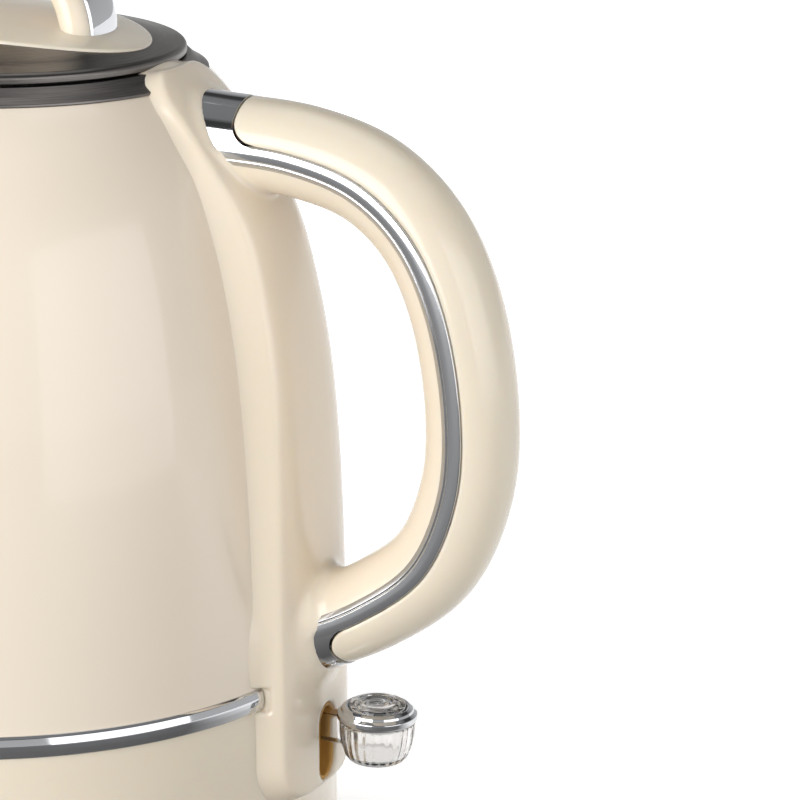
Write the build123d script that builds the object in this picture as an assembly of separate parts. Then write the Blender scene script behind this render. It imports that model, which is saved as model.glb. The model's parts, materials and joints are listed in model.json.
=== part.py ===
from build123d import *
import os
from math import cos, hypot, radians, sin

# Dome kettle on a cordless power base. Millimetres, +Z up. The origin is on the table, on the
# jug's vertical axis. The handle is towards +X and the spout towards -X.

# Jug body: its radius at a height follows body_radius().
JUG_FOOT_Z = 21.0
JUG_FOOT_R = 86.9
JUG_LEAN = 0.029
DOME_SPAN = 203.9
DOME_RISE_POWER = 3.8
DOME_ROOT_POWER = 3.58
SHELL_TOP_Z = 212.2
SHELL_WALL = 0.9
SKIRT_WALL = 2.2
JOINT_Z = 74.0
LEDGE_R = 76.0
LEDGE_LOW_Z = 68.5
LEDGE_HIGH_Z = 70.5
BOSS_CIRCLE_R = 77.0
BOSS_R = 4.0
BOSS_TOP_Z = 46.0

# Neck collar and lid.
COLLAR_TOP_Z = 216.0
COLLAR_TOP_R = 48.6
NECK_R = 45.0
NECK_WALL = 1.5
NECK_BOTTOM_Z = 204.0
LID_R = 48.0
LID_GAP = 0.3
LID_EDGE_Z = 218.0
LID_CROWN = 8.3
LID_SHEET = 1.2
LID_RIM_ROUND = 2.4
INLAY_LENGTH_R = 42.3
INLAY_WIDTH_R = 28.0
INLAY_THICK = 0.6
ARCH_FOOT_X = 28.2
ARCH_FOOT_Z = 222.0
ARCH_RISE = 23.0
ARCH_THICK = 10.0
ARCH_WIDTH = 20.0
ARCH_TRIM_WIDTH = 13.0
ARCH_TRIM_PROUD = 0.3
ARCH_TRIM_DEEP = 0.9
LINER_R = 44.2
LINER_WALL = 2.0
LINER_BOSS_R = 4.5
SEAL_R = 44.7
SEAL_LOW_Z = 207.0
SEAL_HIGH_Z = 212.0

# Chrome band round the joint between the metal jug and the moulded skirt.
BAND_LOW_Z = 71.2
BAND_HIGH_Z = 76.7
BAND_PROUD = 1.2

# Handle: a strip on the jug's back and a round bow, split along its sides by a chrome frame.
STRIP_LOW_Z = 45.0
STRIP_LOW_HALF = 20.8
STRIP_MID_Z = 120.0
STRIP_MID_HALF = 20.0
STRIP_HIGH_Z = 216.0
STRIP_HIGH_HALF = 15.0
STRIP_LOW_CORNER = 12.0
STRIP_HIGH_CORNER = 8.0
STRIP_EDGE_ROUND = 3.0
# How far the strip stands proud of the jug at each height.
STRIP_CREST = [
    (43.0, 6.4),
    (95.0, 6.6),
    (150.0, 8.2),
    (188.0, 8.0),
    (206.0, 5.6),
    (216.0, 3.8),
]
STRIP_CLEAR = 0.05
BOW_POINTS = [
    (62.0, 201.8),
    (84.6, 200.5),
    (101.0, 195.5),
    (113.0, 185.1),
    (121.1, 169.5),
    (126.1, 146.0),
    (125.6, 126.0),
    (118.5, 107.2),
    (104.0, 94.6),
    (84.0, 84.4),
]
BOW_R = 10.7
BOW_WALL = 2.5
TRIM_PROUD = 0.2
TRIM_LOW = -3.2
TRIM_HIGH = 1.6
UPPER_CAP_SHARE = 0.065
LOWER_CAP_SHARE = 0.075
STUD_R = 1.5
STUD_LENGTH = 6.5
STUD_HALF_SPACING = 12.0
STUD_HEIGHTS = (95.0, 150.0)

# Flat steam duct between the jug's back and the strip.
DUCT_LOW_Z = 84.0
DUCT_HIGH_Z = 194.0
DUCT_HALF_WIDTH = 6.5
DUCT_PROUD = 2.4
DUCT_WALL = 0.6
DUCT_CLEAR = 0.1
STEAM_PORT_X = 66.0
STEAM_PORT_Z = 188.0
STEAM_PORT_R = 3.0
GROMMET_R = 4.0

# Switch: a clear lever that pivots under the heater and ends in a clear knob with a chrome ring.
SLOT_LOW_Z = 49.5
SLOT_HIGH_Z = 67.1
SLOT_WIDTH = 8.0
SLOT_WALL = 0.9
SLOT_FRONT_X = 91.2
PIVOT_X = 60.0
PIVOT_Z = 62.0
PIVOT_PIN_R = 1.5
PIVOT_PLAY = 0.05
HUB_R = 4.0
STEM_THICK = 5.2
STEM_LOW_Z = 59.0
STEM_HIGH_Z = 66.0
KNOB_X = 104.6
KNOB_LOW_Z = 56.0
KNOB_RING_LOW_Z = 66.0
KNOB_RING_HIGH_Z = 69.6
KNOB_TOP_Z = 70.8
KNOB_R = 9.5
KNOB_FOOT_R = 5.5
KNOB_WALL = 1.5
HOUSING_HALF = 9.0
HOUSING_WALL = 2.5
HOUSING_BACK_X = 52.0
HOUSING_FRONT_X = 80.0
LAMP_R = 1.5
STEAM_DISC_R = 5.5
STEAM_DISC_X = 51.6
STEAM_DISC_Z = 57.0

# Heater and control under the water chamber.
PLATE_THICK = 1.2
PLATE_RIM_HEIGHT = 6.0
DIFFUSER_R = 56.0
DIFFUSER_THICK = 3.0
ELEMENT_R = 42.0
ELEMENT_TUBE_R = 3.4
ELEMENT_SWEEP = 300.0
CONTROL_FLANGE_R = 31.0
CONTROL_TUBE_R = 20.0
CONTROL_LOW_Z = 20.5
CONTROL_FLANGE_Z = 56.0
CONTROL_TOP_Z = 64.0
SOCKET_R = 16.5
SOCKET_TOP_Z = 37.0
CONTROL_SCREW_CIRCLE_R = 26.0
BIMETAL_R = 8.5
BIMETAL_STEM_R = 3.0
BIMETAL_STEM_HEIGHT = 4.6
JUG_BASE_Z = 18.0
JUG_COVER_THICK = 2.5

# Power base.
BASE_R = 80.0
BASE_TOP_Z = 16.0
BASE_WALL = 2.0
BASE_FLOOR_Z = 1.5
BASE_CORNER = 6.0
REST_RING_R = 74.0
REST_RING_WIDTH = 4.0
REST_GAP = 0.3
POST_R = 12.0
POST_TOP_Z = 32.0
POST_FLANGE_R = 22.0
FOOT_PAD_R = 7.0
FOOT_CIRCLE_R = 62.0
GLAND_R = 4.8
GLAND_BORE_R = 3.3
GLAND_Z = 8.6
GLAND_FRONT_Y = 84.0
GLAND_BACK_Y = 70.0
BASE_SCREW_CIRCLE_R = 66.0
CLAMP_Y = 62.0
POST_RING_SLOT = (6.6, 9.4)
POST_PIN_SLOT_R = 2.9
POST_SLOT_FLOOR_Z = 19.0
PIN_SLOT_FLOOR_Z = 17.0
CONTACT_TOP_Z = 28.0
SCREW_R = 1.6
SCREW_HEAD_R = 3.0
SCREW_HEAD_HEIGHT = 1.8

# Spout and its lime filter.
SPOUT_ROOT_X = -54.0
SPOUT_ROOT_Z = 178.0
SPOUT_ROOT_SIZE = (50.0, 58.0)
SPOUT_WAIST_X = -80.0
SPOUT_WAIST_Z = 190.0
SPOUT_WAIST_SIZE = (30.0, 33.0)
SPOUT_WAIST_TILT = 22.0
SPOUT_TIP_X = -99.0
SPOUT_TIP_Z = 205.0
SPOUT_TIP_SIZE = (22.0, 15.0)
SPOUT_TIP_TILT = 48.0
SPOUT_WALL = 1.4
FILTER_X = -60.0
FILTER_THICK = 2.0
FILTER_HALF_WIDTH = 15.0
FILTER_LOW_Z = 170.0
FILTER_HIGH_Z = 195.0
HOLDER_WALL = 2.0
FILTER_BORDER = 2.5
MESH_THICK = 0.6
MESH_INSET = 1.0
FIT_GAP = 0.3


def body_radius(z):
    """Outer radius of the jug at height z: a slight lean below, closing in a dome above."""
    climb = max(z - JUG_FOOT_Z, 0) / DOME_SPAN
    return (JUG_FOOT_R - JUG_LEAN * (z - JUG_FOOT_Z)) * (1 - climb**DOME_RISE_POWER) ** (
        1 / DOME_ROOT_POWER
    )


def wall_radius(z, proud):
    """Radius of a surface that stands proud of the jug by a distance square to its wall."""
    slope = body_radius(z + 0.25) - body_radius(z - 0.25)
    return body_radius(z) + proud * hypot(1, slope / 0.5)


def turned(*points):
    """Solid of revolution about Z of a closed outline of (radius, height) points."""
    return revolve(Plane.XZ * make_face(Polyline(*points, close=True)), Axis.Z)


def tube(inner, outer, low, high):
    """Ring with plain walls."""
    return turned((inner, low), (outer, low), (outer, high), (inner, high))


def cylinder_up(x, y, radius, low, high):
    """Upright cylinder at x, y between two heights."""
    return Pos(x, y, (low + high) / 2) * Cylinder(radius, high - low)


def block(x_low, x_high, half_width, z_low, z_high):
    """Box that is symmetric about the XZ plane."""
    centre = Pos((x_low + x_high) / 2, 0, (z_low + z_high) / 2)
    return centre * Box(x_high - x_low, 2 * half_width, z_high - z_low)


def body_solid(low, high, proud=0.0, steps=10):
    """Everything inside the jug's outer surface, grown by proud, between two heights."""
    heights = [low + (high - low) * i / steps for i in range(steps + 1)]
    side = Spline(*[(wall_radius(z, proud), z) for z in heights])
    rest = Polyline(side @ 1, (0, high), (0, low), side @ 0)
    return revolve(Plane.XZ * make_face([side, rest]), Axis.Z)


def lid_height(radius, lift=0.0):
    """Height of the lid's top, part of a sphere, at a radius, lifted by lift."""
    sphere_r = (LID_R**2 + LID_CROWN**2) / (2 * LID_CROWN)
    return LID_EDGE_Z + LID_CROWN + lift - sphere_r + (sphere_r**2 - radius**2) ** 0.5


def crown_arc(reach, lift):
    """Line of the lid's dome from a radius to the middle."""
    half = reach / 2
    return ThreePointArc(
        (reach, lid_height(reach, lift)), (half, lid_height(half, lift)), (0, lid_height(0, lift))
    )


def dome_solid(lift):
    """Everything under the lid's domed top, lifted by lift."""
    crown = crown_arc(LID_R, lift)
    foot = Polyline(crown @ 1, (0, NECK_BOTTOM_Z - 1), (LID_R, NECK_BOTTOM_Z - 1), crown @ 0)
    return revolve(Plane.XZ * make_face([crown, foot]), Axis.Z)


def around(count, radius, first_angle=0.0):
    """Places evenly spaced on a circle about Z."""
    angles = [radians(first_angle + 360 * i / count) for i in range(count)]
    return [(radius * cos(a), radius * sin(a)) for a in angles]


def screws(places, head_low, length):
    """Group of screws with their heads down, standing at the given places."""
    head_high = head_low + SCREW_HEAD_HEIGHT
    group = []
    for x, y in places:
        head = cylinder_up(x, y, SCREW_HEAD_R, head_low, head_high)
        group.append(head + cylinder_up(x, y, SCREW_R, head_high, head_low + length))
    return group


# Shapes that several parts share.
collar_region = turned(
    (NECK_R, NECK_BOTTOM_Z),
    (NECK_R + NECK_WALL, NECK_BOTTOM_Z),
    (NECK_R + NECK_WALL, SHELL_TOP_Z),
    (body_radius(SHELL_TOP_Z), SHELL_TOP_Z),
    (COLLAR_TOP_R + 2.4, COLLAR_TOP_Z - 1.7),
    (COLLAR_TOP_R, COLLAR_TOP_Z),
    (NECK_R, COLLAR_TOP_Z),
)
jug_core = body_solid(JUG_FOOT_Z, SHELL_TOP_Z)
jug_inside = body_solid(JUG_FOOT_Z + 1, SHELL_TOP_Z + 0.5, -SHELL_WALL)
jug_keepout = body_solid(JUG_FOOT_Z, SHELL_TOP_Z, STRIP_CLEAR)


def strip_outline(inset=0.0):
    """Front view of the back strip, in the YZ plane, with its arched sides."""
    half_low = STRIP_LOW_HALF - inset
    half_mid = STRIP_MID_HALF - inset
    half_high = STRIP_HIGH_HALF - inset
    low = STRIP_LOW_Z + inset
    high = STRIP_HIGH_Z - inset
    left = ThreePointArc((-half_low, low), (-half_mid, STRIP_MID_Z), (-half_high, high))
    right = ThreePointArc((half_low, low), (half_mid, STRIP_MID_Z), (half_high, high))
    face = make_face([left, right, Line(left @ 0, right @ 0), Line(left @ 1, right @ 1)])
    corners = face.vertices().sort_by(Axis.Y)
    face = fillet(corners[:2], STRIP_LOW_CORNER - inset)
    corners = face.vertices().sort_by(Axis.Y)
    return fillet(corners[-2:], STRIP_HIGH_CORNER - inset)


def strip_prism(inset=0.0):
    """The strip's outline carried along +X, from inside the jug to well outside it."""
    return extrude(Plane.YZ * strip_outline(inset), 130)


def strip_crest_solid():
    """Everything inside the strip's crest line, turned about the jug's axis."""
    side = Spline(*[(wall_radius(z, proud), z) for z, proud in STRIP_CREST])
    rest = Polyline(side @ 1, (0, STRIP_CREST[-1][0]), (0, STRIP_CREST[0][0]), side @ 0)
    return revolve(Plane.XZ * make_face([side, rest]), Axis.Z)


def strip_block():
    """Solid of the strip: what its outline takes from a surface proud of the jug."""
    solid = strip_prism() & strip_crest_solid()
    front = solid.faces().filter_by(lambda face: face.center().X > 60).sort_by(SortBy.AREA)[-1]
    solid = fillet(front.edges(), STRIP_EDGE_ROUND)
    return solid - jug_keepout - collar_region - block(0, 50, 40, STRIP_LOW_Z, STRIP_HIGH_Z + 5)


def bow_path():
    """Centre line of the handle's bow, from its upper root to its lower root."""
    return Spline(*[(x, 0, z) for x, z in BOW_POINTS])


def bow_sweep(section, path):
    """Sweep a section, given across the bow with +y outwards, along part of its centre line."""
    start = Plane(origin=path @ 0, x_dir=(0, 1, 0), z_dir=path % 0)
    return sweep(start * section, path=path)


def bow_ring(radius, low, high):
    """Slice of the bow's hollow round section, between two heights across it."""
    ring = Circle(radius) - Circle(BOW_R - BOW_WALL)
    return ring & (Pos(0, (low + high) / 2) * Rectangle(4 * BOW_R, high - low))


def slot_block(x_high):
    """Space of the switch's slot, out to a given x."""
    half = SLOT_WIDTH / 2 + SLOT_WALL
    return block(70, x_high, half, SLOT_LOW_Z - SLOT_WALL, SLOT_HIGH_Z + SLOT_WALL)


def duct_layer(proud):
    """Jug grown by a distance, over the duct's run."""
    return body_solid(DUCT_LOW_Z - 4, DUCT_HIGH_Z + 6, proud)


def duct_block(side_inset, end_inset):
    """Box of the duct's width and length, inset by the given amounts."""
    half = DUCT_HALF_WIDTH - side_inset
    return block(40, 120, half, DUCT_LOW_Z + end_inset, DUCT_HIGH_Z - end_inset)


def handle_mount():
    """Back strip in one piece with the inner half of the bow; a flat steam duct behind it."""
    inner_half = bow_sweep(bow_ring(BOW_R, -2 * BOW_R, TRIM_LOW), bow_path())
    duct_space = duct_layer(DUCT_PROUD + 0.2) & duct_block(-0.5, -2.0)
    solid = strip_solid + (inner_half - jug_keepout - collar_region)
    solid = solid - duct_space - slot_block(120)
    for stud in mount_studs():
        solid = solid - stud
    return solid


def mount_studs():
    """Studs welded to the jug that hold the strip."""
    studs = []
    for z in STUD_HEIGHTS:
        for y in (-STUD_HALF_SPACING, STUD_HALF_SPACING):
            rod = Pos(body_radius(z) - 1, y, z) * Rot(0, 90, 0) * Cylinder(STUD_R, STUD_LENGTH)
            studs.append(rod - jug_keepout)
    return studs


def handle_trim():
    """Chrome frame: a line down each side of the bow, closed by a cap at each root."""
    path = bow_path()
    sides = bow_sweep(bow_ring(BOW_R + TRIM_PROUD, TRIM_LOW, TRIM_HIGH), path)
    cap = bow_ring(BOW_R + TRIM_PROUD, TRIM_LOW, 2 * BOW_R)
    upper = bow_sweep(cap, path.trim(0, UPPER_CAP_SHARE))
    lower = bow_sweep(cap, path.trim(1 - LOWER_CAP_SHARE, 1))
    frame = sides + upper + lower
    return frame - jug_keepout - collar_region - strip_solid


def handle_cover():
    """Outer half of the bow, held between the frame's caps."""
    path = bow_path().trim(UPPER_CAP_SHARE, 1 - LOWER_CAP_SHARE)
    return bow_sweep(bow_ring(BOW_R, TRIM_HIGH, 2 * BOW_R), path) - strip_solid


def steam_duct():
    """Flat duct behind the strip that leads steam down to the switch."""
    outer = (duct_layer(DUCT_PROUD) - duct_layer(DUCT_CLEAR)) & duct_block(0, 0)
    hollow = duct_layer(DUCT_PROUD - DUCT_WALL) - duct_layer(DUCT_CLEAR + DUCT_WALL)
    hollow = hollow & duct_block(DUCT_WALL, 3 * DUCT_WALL)
    outlet = block(40, 120, DUCT_HALF_WIDTH - DUCT_WALL, DUCT_LOW_Z - 1, DUCT_LOW_Z + 4)
    outlet = outlet & (duct_layer(DUCT_PROUD - DUCT_WALL) - duct_layer(DUCT_CLEAR + DUCT_WALL))
    inlet = steam_port(STEAM_PORT_R, 20) & duct_layer(DUCT_PROUD / 2)
    return outer - hollow - outlet - inlet


def steam_port(radius, length):
    """Round passage from inside the neck into the duct."""
    return Pos(STEAM_PORT_X, 0, STEAM_PORT_Z) * Rot(0, 90, 0) * Cylinder(radius, length)


def steam_grommet():
    """Soft ring that seals the duct to the hole in the jug."""
    ring = steam_port(GROMMET_R, 20) - steam_port(STEAM_PORT_R, 22)
    return ring & (duct_layer(0) - duct_layer(-SHELL_WALL - 1.0))


def body_shell():
    """Painted steel jug, open at the neck, with holes for the spout and the steam."""
    solid = (jug_core - jug_inside) & cylinder_up(0, 0, 100, JOINT_Z, SHELL_TOP_Z + 1)
    return solid - steam_port(GROMMET_R, 30) - spout_form(SPOUT_WALL)


def base_skirt():
    """Moulded lower ring of the jug, with a ledge for the heater and four screw bosses."""
    outer = jug_core & cylinder_up(0, 0, 100, JUG_FOOT_Z - 1, JOINT_Z)
    inner = body_solid(JUG_FOOT_Z - 1, JOINT_Z + 1, -SKIRT_WALL)
    ledge = tube(LEDGE_R, body_radius(LEDGE_HIGH_Z) - 1, LEDGE_LOW_Z, LEDGE_HIGH_Z)
    solid = outer - inner + ledge
    for x, y in around(4, BOSS_CIRCLE_R, 45):
        web = cylinder_up(1.06 * x, 1.06 * y, 0.85 * BOSS_R, JUG_FOOT_Z, BOSS_TOP_Z)
        solid = solid + (cylinder_up(x, y, BOSS_R, JUG_FOOT_Z, BOSS_TOP_Z) & outer) + (web & outer)
        solid = solid - cylinder_up(x, y, SCREW_R, JUG_FOOT_Z - 1, BOSS_TOP_Z - 12)
    return solid - slot_block(95)


def jug_base_cover():
    """Floor of the jug, with the hole that the power base's post enters."""
    low = JUG_BASE_Z
    high = low + JUG_COVER_THICK
    solid = turned(
        (SOCKET_R, low),
        (83.5, low),
        (85.0, low + 1),
        (85.5, JUG_FOOT_Z),
        (80.5, JUG_FOOT_Z),
        (80.5, high),
        (SOCKET_R, high),
    )
    for x, y in around(4, BOSS_CIRCLE_R, 45):
        solid = solid + cylinder_up(x, y, 3.2, high - 0.5, JUG_FOOT_Z)
        solid = solid - cylinder_up(x, y, SCREW_HEAD_R + 0.1, low - 1, low + SCREW_HEAD_HEIGHT)
        solid = solid - cylinder_up(x, y, SCREW_R, low, JUG_FOOT_Z + 1)
    return solid


def band_trim():
    """Chrome band with a rounded face, interrupted by the back strip."""
    middle = (BAND_LOW_Z + BAND_HIGH_Z) / 2
    inner_low = body_radius(BAND_LOW_Z)
    inner_high = body_radius(BAND_HIGH_Z)
    low = (inner_low + 0.5, BAND_LOW_Z)
    crest = (body_radius(middle) + BAND_PROUD, middle)
    high = (inner_high + 0.5, BAND_HIGH_Z)
    face_arc = ThreePointArc(low, crest, high)
    back = Polyline(high, (inner_high - 0.5, BAND_HIGH_Z), (inner_low - 0.5, BAND_LOW_Z), low)
    ring = revolve(Plane.XZ * make_face([face_arc, back]), Axis.Z)
    return ring - jug_core - strip_prism()


def collar_ring():
    """Brushed steel collar on the jug's top edge, with the neck that guides the lid."""
    return collar_region


def spout_form(inset):
    """Outer or inner form of the spout: a tapering beak from the jug's shoulder."""
    def section(x, z, size, tilt):
        """Oval across the spout's run, leaning back by tilt."""
        facing = (-cos(radians(tilt)), 0, sin(radians(tilt)))
        plane = Plane(origin=(x, 0, z), x_dir=(0, 1, 0), z_dir=facing)
        return plane * Ellipse(size[0] / 2 - inset, size[1] / 2 - inset)

    root = section(SPOUT_ROOT_X, SPOUT_ROOT_Z, SPOUT_ROOT_SIZE, 0)
    waist = section(SPOUT_WAIST_X, SPOUT_WAIST_Z, SPOUT_WAIST_SIZE, SPOUT_WAIST_TILT)
    tip = section(SPOUT_TIP_X, SPOUT_TIP_Z, SPOUT_TIP_SIZE, SPOUT_TIP_TILT)
    return loft([root, waist, tip])


def spout():
    """Hollow pouring beak, open at its tip."""
    return spout_form(0) - spout_form(SPOUT_WALL) - jug_core


def filter_opening(gap):
    """Window of the filter's holder, larger than the filter by a gap."""
    half = FILTER_HALF_WIDTH + gap
    return block(-95, FILTER_X + 8, half, FILTER_LOW_Z - gap, FILTER_HIGH_Z + gap)


def filter_holder():
    """Short square duct, welded behind the spout, that the filter slides out of."""
    half = FILTER_HALF_WIDTH + FIT_GAP + HOLDER_WALL
    low = FILTER_LOW_Z - FIT_GAP - HOLDER_WALL
    high = FILTER_HIGH_Z + FIT_GAP + HOLDER_WALL
    outer = block(-95, FILTER_X + 4, half, low, high)
    return (outer - filter_opening(FIT_GAP)) & jug_inside


def filter_frame():
    """Moulded frame of the lime filter, with a finger tab on its inner face."""
    low_x = FILTER_X
    high_x = FILTER_X + FILTER_THICK
    frame = block(low_x, high_x, FILTER_HALF_WIDTH, FILTER_LOW_Z, FILTER_HIGH_Z)
    half = FILTER_HALF_WIDTH - FILTER_BORDER
    low = FILTER_LOW_Z + FILTER_BORDER
    window = block(low_x - 1, high_x + 1, half, low, FILTER_HIGH_Z - FILTER_BORDER)
    middle = (FILTER_LOW_Z + FILTER_HIGH_Z) / 2
    bar = block(low_x, high_x, 1.2, FILTER_LOW_Z, FILTER_HIGH_Z)
    tab = block(high_x, high_x + 6, 1.2, middle - 5, middle + 5)
    return frame - window + bar + tab - filter_mesh()


def filter_mesh():
    """Fine mesh sheet held in the filter's frame."""
    low_x = FILTER_X + (FILTER_THICK - MESH_THICK) / 2
    half = FILTER_HALF_WIDTH - MESH_INSET
    low = FILTER_LOW_Z + MESH_INSET
    return block(low_x, low_x + MESH_THICK, half, low, FILTER_HIGH_Z - MESH_INSET)


def heater_plate():
    """Steel floor of the water chamber: a shallow pan whose rim is welded into the jug."""
    low = JOINT_Z - PLATE_THICK
    high = JOINT_Z + PLATE_RIM_HEIGHT
    rim = wall_radius(high, -SHELL_WALL) - 0.05
    disc_r = rim - 2.5
    return turned(
        (0, low),
        (disc_r, low),
        (disc_r, JOINT_Z),
        (rim, JOINT_Z),
        (rim, high),
        (rim - 1, high),
        (rim - 1, JOINT_Z + 1),
        (disc_r - 1, JOINT_Z + 1),
        (disc_r - 1, JOINT_Z),
        (0, JOINT_Z),
    )


def plate_seal():
    """Silicone ring between the heater plate and the skirt's ledge."""
    return tube(LEDGE_R + 1, LEDGE_R + 5, LEDGE_HIGH_Z, JOINT_Z - PLATE_THICK)


def heat_diffuser():
    """Aluminium disc brazed under the plate."""
    high = JOINT_Z - PLATE_THICK
    return cylinder_up(0, 0, DIFFUSER_R, high - DIFFUSER_THICK, high)


def heating_element():
    """Sheathed element bent into an open ring under the diffuser, with its two cold ends."""
    z = JOINT_Z - PLATE_THICK - DIFFUSER_THICK - ELEMENT_TUBE_R
    start = (360 - ELEMENT_SWEEP) / 2
    ring = Pos(0, 0, z) * Torus(ELEMENT_R, ELEMENT_TUBE_R)
    reach = 2 * ELEMENT_R
    gap = Polyline(
        (0, 0),
        (reach * cos(radians(start)), -reach * sin(radians(start))),
        (reach * cos(radians(start)), reach * sin(radians(start))),
        close=True,
    )
    solid = ring - Pos(0, 0, z - 10) * extrude(make_face(gap), 20)
    for side in (-1, 1):
        a = radians(side * (start + 3))
        solid = solid + cylinder_up(ELEMENT_R * cos(a), ELEMENT_R * sin(a), 2.0, z - 9, z)
    return solid


def controller_body():
    """Cordless control: a flange under the heater and a tube down to the socket."""
    flange = tube(6, CONTROL_FLANGE_R, CONTROL_FLANGE_Z, CONTROL_TOP_Z)
    barrel = tube(SOCKET_R, CONTROL_TUBE_R, CONTROL_LOW_Z, SOCKET_TOP_Z)
    upper = tube(6, CONTROL_TUBE_R, SOCKET_TOP_Z, CONTROL_FLANGE_Z)
    roof = cylinder_up(0, 0, 6, SOCKET_TOP_Z, SOCKET_TOP_Z + 3)
    solid = flange + barrel + upper + roof
    for x, y in around(3, CONTROL_SCREW_CIRCLE_R, 90):
        solid = solid - cylinder_up(x, y, SCREW_R, CONTROL_FLANGE_Z - 1, CONTROL_TOP_Z + 1)
    return solid


def controller_contacts():
    """Centre pin and ring that meet the power base's contacts."""
    pin = cylinder_up(0, 0, 1.6, 20, SOCKET_TOP_Z)
    ring = tube(7.6, 8.4, 22, SOCKET_TOP_Z)
    return [pin, ring]


def control_bimetals():
    """Two snap discs that watch the heater for dry boiling."""
    high = JOINT_Z - PLATE_THICK - DIFFUSER_THICK
    middle = high - BIMETAL_STEM_HEIGHT
    discs = []
    for y in (-13, 13):
        stem = cylinder_up(0, y, BIMETAL_STEM_R, middle - 0.4, high)
        discs.append(cylinder_up(0, y, BIMETAL_R, CONTROL_TOP_Z, middle) + stem)
    return discs


def control_screws():
    """Screws that hold the control's flange to the diffuser."""
    head_low = CONTROL_FLANGE_Z - SCREW_HEAD_HEIGHT
    length = JOINT_Z - PLATE_THICK - DIFFUSER_THICK - head_low
    return screws(around(3, CONTROL_SCREW_CIRCLE_R, 90), head_low, length)


def jug_base_screws():
    """Screws that hold the jug's floor to the skirt."""
    return screws(around(4, BOSS_CIRCLE_R, 45), JUG_BASE_Z, 15)


def switch_housing():
    """Amber frame of the switch: two cheeks for the pivot pin and a sleeve through the slot."""
    half = HOUSING_HALF
    z_low = SLOT_LOW_Z - SLOT_WALL
    z_high = SLOT_HIGH_Z + SLOT_WALL
    front_x = HOUSING_FRONT_X
    outside = block(HOUSING_BACK_X, front_x, half, z_low, z_high)
    inside_half = half - HOUSING_WALL
    inside = block(HOUSING_BACK_X + 2, front_x + 1, inside_half, SLOT_LOW_Z, SLOT_HIGH_Z)
    sleeve = block(front_x - 2, SLOT_FRONT_X, SLOT_WIDTH / 2 + SLOT_WALL, z_low, z_high)
    solid = outside - inside
    solid = solid + block(front_x - 2, front_x, half, z_low, z_high) + sleeve
    solid = solid - block(front_x - 3, SLOT_FRONT_X + 1, SLOT_WIDTH / 2, SLOT_LOW_Z, SLOT_HIGH_Z)
    solid = solid - Pos(PIVOT_X, 0, PIVOT_Z) * Rot(90, 0, 0) * Cylinder(PIVOT_PIN_R, 3 * half)
    return solid - Pos(HOUSING_BACK_X + 1, 0, PIVOT_Z) * Rot(0, 90, 0) * Cylinder(LAMP_R, 6)


def switch_pin():
    """Steel pivot pin across the housing."""
    return Pos(PIVOT_X, 0, PIVOT_Z) * Rot(90, 0, 0) * Cylinder(PIVOT_PIN_R, 2 * HOUSING_HALF)


def indicator_lamp():
    """Small lamp in the housing's back that lights the clear lever."""
    barrel = Pos(HOUSING_BACK_X + 1.2, 0, PIVOT_Z) * Rot(0, 90, 0) * Cylinder(LAMP_R, 3.4)
    return barrel + Pos(HOUSING_BACK_X + 2.9, 0, PIVOT_Z) * Sphere(0.6 * LAMP_R)


def steam_bimetal():
    """Snap disc behind the switch that trips the lever when steam heats it."""
    disc = Pos(STEAM_DISC_X, 0, STEAM_DISC_Z) * Rot(0, 90, 0) * Cylinder(STEAM_DISC_R, 0.6)
    return disc - Pos(STEAM_DISC_X, 0, PIVOT_Z) * Rot(0, 90, 0) * Cylinder(LAMP_R + 0.5, 3)


def knob_bowl():
    """Clear bowl under the knob's ring."""
    floor_z = KNOB_LOW_Z + KNOB_WALL
    bowl_r = KNOB_R - 0.6
    outer = ThreePointArc((KNOB_FOOT_R, KNOB_LOW_Z), (8.0, 59.6), (bowl_r, KNOB_RING_LOW_Z))
    rest = Polyline(
        outer @ 1,
        (bowl_r - KNOB_WALL, KNOB_RING_LOW_Z),
        (KNOB_FOOT_R - 0.6, floor_z),
        (0, floor_z),
        (0, KNOB_LOW_Z),
        (KNOB_FOOT_R, KNOB_LOW_Z),
    )
    return Pos(KNOB_X, 0, 0) * revolve(Plane.XZ * make_face([outer, rest]), Axis.Z)


def switch_lever():
    """Clear moulding: hub, flat stem and the knob's bowl."""
    hub_length = 2 * (HOUSING_HALF - HOUSING_WALL - 0.4)
    hub = Pos(PIVOT_X, 0, PIVOT_Z) * Rot(90, 0, 0) * Cylinder(HUB_R, hub_length)
    stem = block(PIVOT_X, KNOB_X - 8.2, STEM_THICK / 2, STEM_LOW_Z, STEM_HIGH_Z)
    hole = Pos(PIVOT_X, 0, PIVOT_Z) * Rot(90, 0, 0) * Cylinder(PIVOT_PIN_R + PIVOT_PLAY, 30)
    return hub + stem + knob_bowl() - hole


def switch_ring():
    """Chrome ring round the knob's rim."""
    low = KNOB_RING_LOW_Z
    high = KNOB_RING_HIGH_Z
    ring = tube(KNOB_R - 2.4, KNOB_R, low, high)
    ring = fillet(ring.edges().filter_by(GeomType.CIRCLE).sort_by(SortBy.RADIUS)[-2:], 1.0)
    return Pos(KNOB_X, 0, 0) * ring


def switch_lens():
    """Clear, slightly domed cap set in the ring."""
    disc = cylinder_up(0, 0, KNOB_R - 2.4, KNOB_RING_LOW_Z + 0.6, KNOB_TOP_Z)
    disc = fillet(disc.edges().sort_by(Axis.Z)[-1], 1.0)
    return Pos(KNOB_X, 0, 0) * disc


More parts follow.
